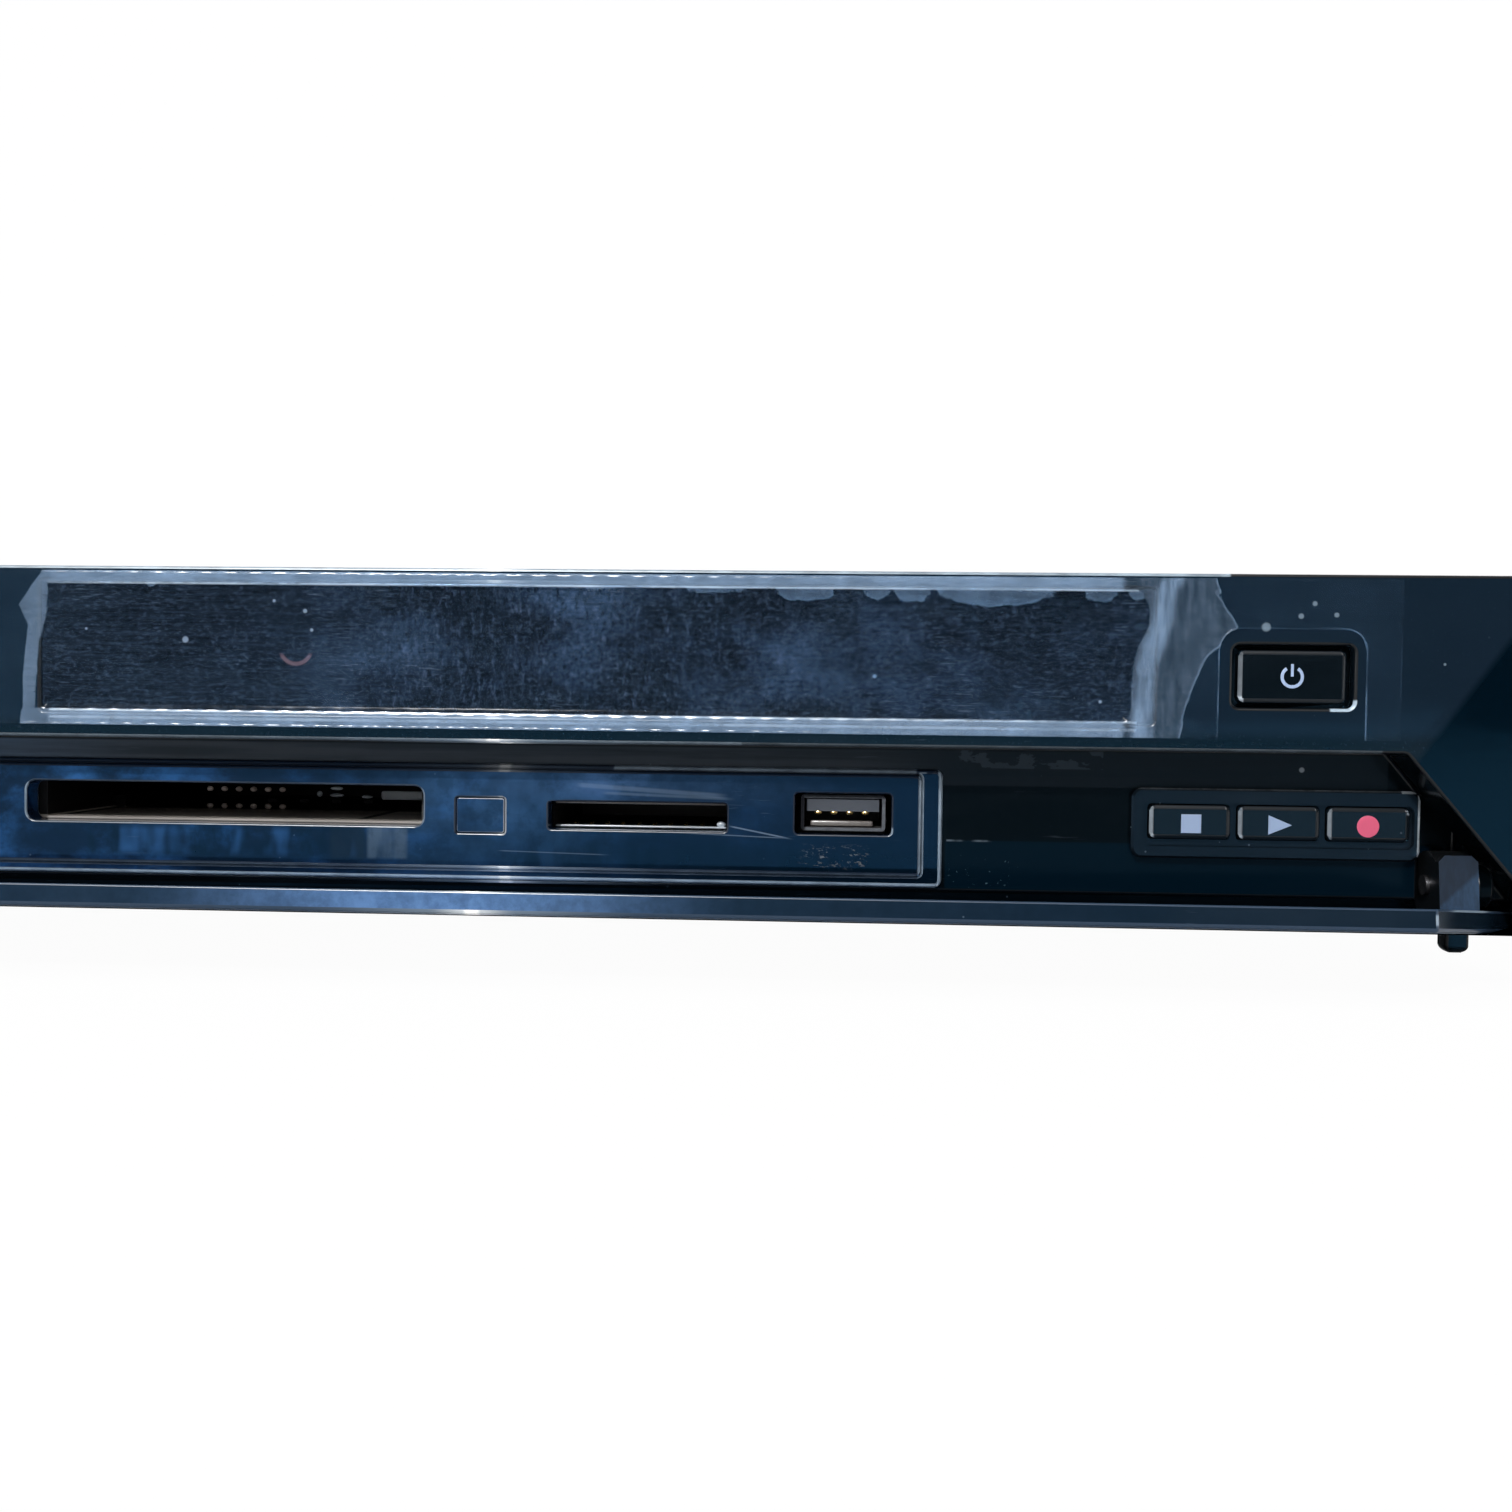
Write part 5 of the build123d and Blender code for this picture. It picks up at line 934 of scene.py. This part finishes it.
loose = roughened("loose", 2.2, 4.0, 0.6, 0.7)
drip = roughened("drip", 1.3, 5.0, 0.7, 1.6)
inside_air = ramp(loose, -0.1, 0.22)
mottled = blobs(0.8, 0.25, 0.8, 5.0, 0.75, (0.5, 1.0), stretch=(0.22, 1, 1.2))
swirls = blobs(5.0, 0.32, 0.7, 4.0, 0.6, (0.66, 1.0), stretch=(1.2, 1, 0.5))
streaky = blobs(1.6, 0.35, 0.65, 5.0, 0.7, (0.35, 1.0), stretch=(1.4, 1, 0.22))
right_side = hazy.within(0, 151, 168, 0.8)
fill = less(ramp(right_side, 0.0, 1.0, (0.44, 0.11)), both(hazy.within(0, -20, -8, 0.8), 0.2))
streaky_right = hazy.maths("MAXIMUM", streaky, less(1.0, right_side))
# Painted highlights: thin bright lines along the edges of the loose bands, brighter around x 62.
band_highlights = 0.0
for z, half, share in ((57.45, 0.14, 0.42), (38.45, 0.16, 0.34), (37.35, 0.22, 0.2)):
    uneven = blobs(6.0, 0.3, 0.6, to=(0.35, 1.0), stretch=(0.4, 1, 1))
    line = both(hazy.patch(-8.2, 153.0, z - half, z + half, 0.12), uneven, share)
    band_highlights = hazy.maths("MAXIMUM", band_highlights, line)
drip_rim = both(ramp(drip, -0.02, 0.12), ramp(drip, 0.4, 0.15), mottled, 0.14)
drip_fill = both(ramp(drip, -0.1, 0.45), mottled, swirls, 0.2)
shares = {
    "air": both(inside_air, mottled, swirls, fill, streaky_right),
    "core of the right strand": both(inside_air, ramp(stored("strand"), 0.0, 0.8), streaky, 0.26),
    "veil": blobs(13.0, 0.35, 0.8, 5.0, 0.65, (0.003, 0.016)),
    "level lines": both(blobs(0.3, 0.5, 0.75, 3.0, 0.7, stretch=(0.02, 1, 1)), 0.02),
    "band highlights": both(band_highlights, ramp(hazy.hump(0, 62, 70), 0.0, 1.0, (0.7, 1.3))),
    "drips": both(less(1.0, inside_air), hazy.total(drip_rim, drip_fill)),
    "outer cut": both(ramp(stored("edge"), 0.25, 0.1), blobs(9.0, 0.45, 0.7, to=(0.0, 0.03))),
    "notch cut": both(ramp(stored("notch"), 0.3, 0.12), blobs(5.0, 0.35, 0.6, to=(0.03, 0.16))),
    "specks": both(dust(hazy, 5.0, 0.10, 0.07), 0.3),
}
rim = both(ramp(loose, -0.05, 0.1), ramp(loose, 0.42, 0.15), hazy.fade(0, 155.5, 157.5), 0.1)
hazy.feed("Alpha", hazy.maths("ADD", hazy.total(*shares.values()), rim, clamp=True))
hazy.lay((152, 184, 220), hazy.maths("MAXIMUM", inside_air, both(drip_fill, 2.0)))
hazy.lay((196, 212, 226), hazy.maths("MINIMUM", both(band_highlights, 2.2), 1.0))
film.data.materials.append(hazy.material)
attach(film, "case")
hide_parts("protective_film")

# %% [markdown]
# ## Marks on the keys
# The three keys carry the usual square, triangle and round mark, and the power key gets the common ring
# with a bar. Each mark is a very thin plate of ink. A plate is one outline repeated at a few depths, drawn
# in a little at the front so that its edge is soft.


# %% Flat plates from an outline
def plate(outline, x, z, face, thickness=0.05, ease=0.06):
    """A closed plate: an outline about its middle, from the back to the face and in by a soft edge."""
    points = np.array(outline, float)
    size = np.abs(points).max()
    steps = [(1.0, thickness), (1.0, 0.3 * thickness), (1 - ease / size, 0.0)]
    return np.stack([at(x + points[:, 0] * s, face - thickness + d, z + points[:, 1] * s) for s, d in steps])


def ring_arc(radius, width, start, stop, steps=40):
    """An arc of a ring as an outline: out along the outer edge and back along the inner one."""
    angle = np.linspace(start, stop, steps)
    circle = np.stack([np.sin(angle), np.cos(angle)], axis=1)
    return np.concatenate([circle * (radius + width / 2), circle[::-1] * (radius - width / 2)])


def rectangle(width, height):
    w, h = width / 2, height / 2
    return [(-w, -h), (w, -h), (w, h), (-w, h)]


def fitted(name, grids, finish, body="case", smooth=True, hollow=False):
    """One piece from closed grids, with its finish, riding on a body. A hollow one joins its two ends."""
    piece = grid_mesh(name, grids, caps=not hollow, closed=(hollow, True))
    if smooth:
        piece.data.shade_smooth()
    piece.data.materials.append(finishes[finish].material)
    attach(piece, body)
    return piece


disc = np.stack([np.cos(around(48)[0]), np.sin(around(48)[0])], axis=1)
mark_z, power_z = 23.4, middle("power_button", 2)
stem = np.array(rectangle(0.4, 1.8)) + (0, 0.95)
for key, outlines, x, z, finish in (
    ("stop", [rectangle(2.95, 2.8)], 162.9, mark_z, "mark_pale"),
    ("play", [[(-1.65, -1.45), (1.8, 0.0), (-1.65, 1.45)]], 175.9, mark_z, "mark_pale"),
    ("record", [disc * 1.62], 188.8, mark_z, "mark_red"),
    ("power", [ring_arc(1.45, 0.4, 0.6, tau - 0.6), stem], middle("power_button", 0), power_z, "mark_pale"),
):
    face = span("power_button" if key == "power" else "stop_button", 1)[0]
    plates = [plate(outline, x, z, face) for outline in outlines]
    fitted(key + "_mark", plates, finish, key + "_key", smooth=False)

# %% [markdown]
# ## Inside the slots
# Behind each slot something small catches the light: two rows of spring contacts in the card reader, a pale
# leaf and rivets beside them, a row of blades and two lips in the memory card socket, and four contacts on
# the tongue of the USB socket. They are little rounded lumps and bars.


# %% Lumps and bars
def pebble(x, depth, z, half):
    """A small rounded lump: an ellipsoid, ring by ring from near one pole to near the other."""
    down = np.linspace(0.06, pi - 0.06, 8)[:, None]
    turn = around(12)
    return at(
        x + half[0] * np.sin(down) * np.cos(turn),
        depth + half[1] * np.sin(down) * np.sin(turn),
        z + half[2] * np.cos(down) * np.ones_like(turn),
    )


def bar(x, depth, z, half_depth, half_height):
    """A bar along x: a squared-off ellipse carried from end to end and drawn in at both ends."""
    turn = around(20)
    across = np.sign(np.cos(turn)) * abs(np.cos(turn)) ** 0.4
    high = np.sign(np.sin(turn)) * abs(np.sin(turn)) ** 0.4
    ease_in = np.array([0.55, 0.9, 1.0, 1.0, 0.9, 0.55])[:, None]
    soft = 0.1
    along_x = np.array([x[0], x[0] + soft, x[0] + 3 * soft, x[1] - 3 * soft, x[1] - soft, x[1]])[:, None]
    return at(along_x, depth + half_depth * across * ease_in, z + half_height * high * ease_in)


# %% Contacts behind the slots
contact_depth, contact_rows, contact_x = 33.0, (24.9, 22.0), 2.5 + 2.54 * np.arange(6)
lip_reach, lip_depth = (66.4, 93.0), 12.0
contacts = [pebble(x, contact_depth, z, (0.6, 0.5, 0.45)) for x in contact_x for z in contact_rows]
rivets = [
    pebble(21.3, 34.0, 24.2, (0.5, 0.4, 0.5)),
    pebble(24.3, 34.0, 25.2, (1.1, 0.5, 0.35)),
    pebble(24.3, 34.0, 24.0, (1.3, 0.5, 0.35)),
    pebble(29.6, 34.0, 23.8, (1.0, 0.5, 0.3)),
]
blades = [pebble(x, 15.5, 21.5, (0.35, 1.6, 0.22)) for x in np.linspace(69.0, 89.0, 9)]
springs = [pebble(x, 11.6, 24.0, (0.62, 0.5, 0.36)) for x in 107.2 + 2.4 * np.arange(4)]
for name, grids, finish in (
    ("card_contacts", contacts, "pale_contact"),
    ("card_leaf", rivets + [bar((31.5, 44.5), 36.0, 24.0, 0.3, 0.75)], "bright_leaf"),
    ("memory_lips", [bar(lip_reach, lip_depth, 24.95, 0.5, 0.2)], "dull_lip"),
    ("memory_lower_lip", [bar(lip_reach, lip_depth, 21.3, 0.6, 0.16)], "bright_leaf"),
    ("memory_corner", [pebble(92.2, 11.9, 21.8, (0.7, 0.3, 0.5))], "bright_leaf"),
    ("memory_contacts", blades, "gold_plate"),
    ("usb_contacts", springs, "gold_plate"),
    ("usb_floor", [bar((106.0, 115.6), 11.9, 22.3, 0.6, 0.42)], "dull_lip"),
):
    fitted(name, grids, finish)
print("contacts behind the slots made")

# %% [markdown]
# ## Screws and rear connectors
# These are mostly turned parts: a profile of radius against distance, carried round an axis. A screw head
# adds a cross to its top, which is a drop in height wherever a point lies near one of two crossing bars. A
# thread is a small ridge carried along a helix, and the hexagonal nut is a turned profile whose radius
# follows six flats.


# %% Turned parts
def turned(x, depth, z, profile, steps=48, shape=None):
    """Surface of revolution: each (radius, distance) pair becomes a ring about an axis that runs in depth."""
    radius, distance = (np.array(column, float)[:, None] for column in zip(*profile))
    angle = around(steps)
    if shape is not None:
        radius = radius * shape(angle)
    return at(x + radius * np.cos(angle), depth + distance + 0 * angle, z + radius * np.sin(angle))


def cross_screw(x, depth, z, axis, outwards, head):
    """A low screw: a slightly domed head with a cross cut into it, and the shank behind it."""
    head_radius, shank_radius, shank = 3.0, 1.45, 5.0
    bar_half, bar_reach, cut = 0.42, 1.9, 0.75 * head
    rings = [0.08, 0.3, 0.5, 0.7, 0.9, 1.1, 1.3, 1.5, 1.7, 1.85, 2.0, 2.2, 2.45, 2.7, 2.88]
    radius = np.array(rings)[:, None]
    angle = around(96)
    u, v = radius * np.cos(angle), radius * np.sin(angle)

    def near(a, b):
        beside = np.clip((bar_half - abs(a)) / 0.12 + 0.5, 0, 1)
        return beside * np.clip((bar_reach - abs(b)) / 0.2 + 0.5, 0, 1)

    height = head - 0.06 * (radius / head_radius) ** 2 - cut * np.maximum(near(u, v), near(v, u))
    sides = ((head_radius, 0.7 * head), (head_radius, 0.0), (shank_radius, 0.0), (shank_radius, -shank))
    u = np.concatenate([u] + [r * np.cos(angle) for r, _ in sides])
    v = np.concatenate([v] + [r * np.sin(angle) for r, _ in sides])
    height = np.concatenate([height] + [h + 0 * angle for _, h in sides]) * outwards
    if axis == 0:
        return at(x + height, depth + u, z + v)
    return at(x + u, depth + height, z + v)


def helix_ridge(x, depth, z, radius, reach, pitch, ridge=0.22):
    """A thread's ridge: a three-cornered section, ring by ring along a helix that thins out at both ends."""
    turns = (reach[1] - reach[0]) / pitch
    angle = np.linspace(0, tau * turns, int(28 * turns))[:, None]
    fade = np.clip(np.minimum(angle, angle[-1] - angle) / 1.5, 0.05, 1)
    corner = np.array([[0.0, -0.33 * pitch], [1.0, 0.0], [0.0, 0.33 * pitch], [-0.3, 0.0]])
    rise = radius + ridge * fade * corner[None, :, 0]
    run = reach[0] + pitch * angle / tau + corner[None, :, 1]
    return at(x + rise * np.cos(angle), depth + run, z + rise * np.sin(angle))


def six_flats(angle):
    """Radius of a hexagon with slightly soft corners, as a share of the radius of the circle inside it."""
    return np.minimum(1 / np.cos((angle + pi / 6) % (pi / 3) - pi / 6), 1.13)


def wire(points, radius=0.2):
    """A thin round wire through points that share one x: a ring carried along and tipped with the path."""
    points = np.array(points, float)
    run = np.gradient(points[:, 1:], axis=0)
    run /= np.hypot(run[:, 0], run[:, 1])[:, None]
    angle = around(8)
    side, rise = radius * np.cos(angle), radius * np.sin(angle)
    return at(points[:, :1] + side, points[:, 1:2] - run[:, 1:] * rise, points[:, 2:] + run[:, :1] * rise)


# %% Screws with crossed heads
side_face, rear_face = 214.4, span("rear_panel", 1)[1]
screws = [cross_screw(s * side_face, d, 20.0, 0, s, 0.6) for s in (-1, 1) for d in (70.0, 230.0)]
screws += [cross_screw(x, rear_face, 53.0, 1, 1, 1.6) for x in (-205.0, -100.0, 100.0, 205.0)]
heads = fitted("crossed_screws", screws, "screw_black", smooth=False)
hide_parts("case_screws")
print("screws made", len(screws))

# %% Aerial connectors and jacks
aerial_x, aerial_z, jack_x, jack_z = (-36.0, -20.0, -4.0, 12.0), 27.0, (34.0, 48.0, 62.0), 29.0
nut = [(4.78, 1.55), (5.5, 1.5), (5.75, 1.7), (5.9, 1.95), (5.9, 3.4), (5.75, 3.65), (5.4, 3.8), (4.78, 3.8)]
sleeve = [(0.7, 5.0), (1.4, 5.0), (1.5, 5.2), (1.5, 9.2), (1.3, 9.5), (0.9, 9.5), (0.7, 9.2)]
jack_ring = [(4.2, 1.02), (5.6, 1.02), (5.95, 1.3), (5.95, 2.3), (5.6, 2.6), (4.2, 2.6)]
jack_sleeve = [
    (4.17, 2.5), (4.4, 2.6), (4.4, 8.8), (4.1, 9.12), (3.5, 9.12), (3.3, 9.03), (3.4, 9.01), (4.17, 8.9)]


def rear(places, z, profile, **more):
    """The same turned profile at several places across the rear panel."""
    return [turned(x, rear_face, z, profile, **more) for x in places]


threads = [helix_ridge(x, rear_face, aerial_z, 4.75, (4.2, 9.6), 0.9) for x in aerial_x]
nuts = rear(aerial_x, aerial_z, nut, steps=72, shape=six_flats)
fitted("aerial_threads", threads, "socket_steel")
fitted("aerial_nuts", nuts, "socket_steel", smooth=False, hollow=True)
fitted("aerial_contacts", rear(aerial_x, aerial_z, sleeve), "gold_plate", hollow=True)
for x, color in zip(jack_x, ("yellow", "white", "red")):
    fitted("jack_ring_" + color, rear([x], jack_z, jack_ring), "jack_" + color, hollow=True)
fitted("jack_sleeves", rear(jack_x, jack_z, jack_sleeve), "bright_steel", hollow=True)

# %% Network contacts and inlet pins
contact_gap, network_x = 1.02, -76.0
contact_path = np.array([
    (267.2, 29.6), (271, 29.3), (275.5, 28.9), (276.6, 28.3), (276.2, 27.7), (270, 25.4), (267.2, 24.6)])
network = [wire([(network_x + contact_gap * (k - 3.5), *place) for place in contact_path]) for k in range(8)]
fitted("network_contacts", network, "gold_plate")
pin_profile = [(1.23, 267.2), (1.23, 274.6), (1.1, 275.2), (0.75, 275.55), (0.3, 275.62)]
pins = [turned(-185.0 + side, 0.0, 29.0, pin_profile) for side in (-4.3, 4.3)]
fitted("inlet_pins", pins, "bright_steel")
print("rear connectors finished")

# %% [markdown]
# ## Studio
# The recorder stands on a pale floor that curves up behind it. The walls are white to the camera, and
# glossy surfaces see them darker in front of the recorder and to its right. That is what gives gloss black
# its depth. Light comes from a wide soft lamp, a fill from behind, and two small suns in one place: a weak
# one for everything and a strong one that only mirrors show, as a row of glints on the long edges. Three
# strip lamps, above and to either side, show in mirrors alone as well.


# %% Floor and backdrop
def sweep_floor(half=3.0, back=1.6, radius=0.8, rise=2.4):
    """A floor that turns up into a wall: a profile of two lines and a quarter circle, carried along x."""
    angle = np.linspace(0, pi / 2, 24)
    y = np.concatenate([[-4.0, back - radius], back - radius + radius * np.sin(angle), [back]])
    z = np.concatenate([[0, 0], radius - radius * np.cos(angle), [rise]])
    x = np.array([-half, half])
    grid = np.stack(np.broadcast_arrays(x[None, :], y[:, None], z[:, None]), axis=-1)
    return grid_mesh("studio_floor", [grid], closed=(False, False))


floor_piece = sweep_floor()
floor_piece.data.shade_smooth()
stage_look = bpy.data.materials.new("studio_white")
stage_look.use_nodes = True
stage_look.node_tree.nodes.clear()
stage = Nodes(stage_look.node_tree)
rays = stage.node("LightPath").outputs
seen = stage.both(stage.maths("MAXIMUM", rays["Is Camera Ray"], rays["Is Transmission Ray"]), 0.97)
diffuse = stage.node("BsdfDiffuse", {"Color": (0.86, 0.86, 0.86, 1)}).outputs[0]
glow = stage.node("Emission", {"Strength": 1.0}).outputs[0]
stage.node("OutputMaterial", {0: stage.node("MixShader", {0: seen, 1: diffuse, 2: glow}).outputs[0]})
floor_piece.data.materials.append(stage_look)

# %% World
world = bpy.data.worlds.new("studio_world")
bpy.context.scene.world = world
world.use_nodes = True
world.node_tree.nodes.clear()
sky = Nodes(world.node_tree)
light_level = 0.55
coordinates = sky.node("TexCoord").outputs["Generated"]
ways = sky.node("SeparateXYZ", {0: coordinates}).outputs
toward_front = sky.ramp(ways["Y"], -0.25, -0.95, (1.0, 0.42))
toward_right = sky.ramp(ways["X"], -0.35, 0.42, (1.15, 0.35))
room = sky.node("TexNoise", {"Vector": coordinates, "Scale": 5.0, "Detail": 3.0}).outputs["Fac"]
room_level = sky.ramp(room, 0.3, 0.7, (0.7, 1.25), "LINEAR")
rays = sky.node("LightPath").outputs
glossy = rays["Is Glossy Ray"]
shown = sky.maths("MAXIMUM", rays["Is Camera Ray"], rays["Is Transmission Ray"])
bright = sky.maths("MAXIMUM", shown, sky.both(glossy, toward_right, room_level, toward_front))
rest_of_light = sky.less(1.0, sky.maths("MAXIMUM", shown, glossy))
level = sky.maths("MULTIPLY_ADD", rest_of_light, light_level, bright)
background = sky.node("Background", {"Color": (1, 1, 1, 1), "Strength": level}).outputs[0]
sky.node("OutputWorld", {0: background})

# %% Lamps
sun_place = Vector((-0.22, -0.78, 0.60)).normalized() * 2.0


def lamp(name, kind, place, energy, **settings):
    """A lamp that looks at the middle of the recorder's front."""
    light = bpy.data.lights.new(name, kind)
    light.energy = energy
    for key, value in settings.items():
        setattr(light, key, value)
    obj = bpy.data.objects.new(name, light)
    bpy.context.scene.collection.objects.link(obj)
    aim = Vector((0.05, front, 0.04))
    obj.location = place
    obj.rotation_euler = (aim - Vector(place)).to_track_quat("-Z", "Y").to_euler()
    return obj


lamp("glint_lamp", "SUN", sun_place, 1.6, angle=radians(1.2))
lamp("glint_star", "SUN", sun_place, 14.0, angle=radians(1.2)).visible_diffuse = False
for name, place, energy, wide, high in (
    ("soft_key", (-0.9, -0.7, 1.5), 14.0, 1.4, 0.9),
    ("back_fill", (0.9, 1.2, 1.6), 10.0, 1.2, 1.2),
    ("strip_above", (-0.1, -0.65, 0.95), 6.0, 1.3, 0.3),
    ("strip_left", (-0.85, -0.55, 0.10), 2.0, 0.2, 0.4),
    ("strip_right", (0.95, -0.52, 0.12), 2.0, 0.2, 0.4),
):
    area = lamp(name, "AREA", place, energy, shape="RECTANGLE", size=wide, size_y=high)
    area.visible_diffuse = not name.startswith("strip")
bpy.context.scene.view_settings.view_transform = "Standard"
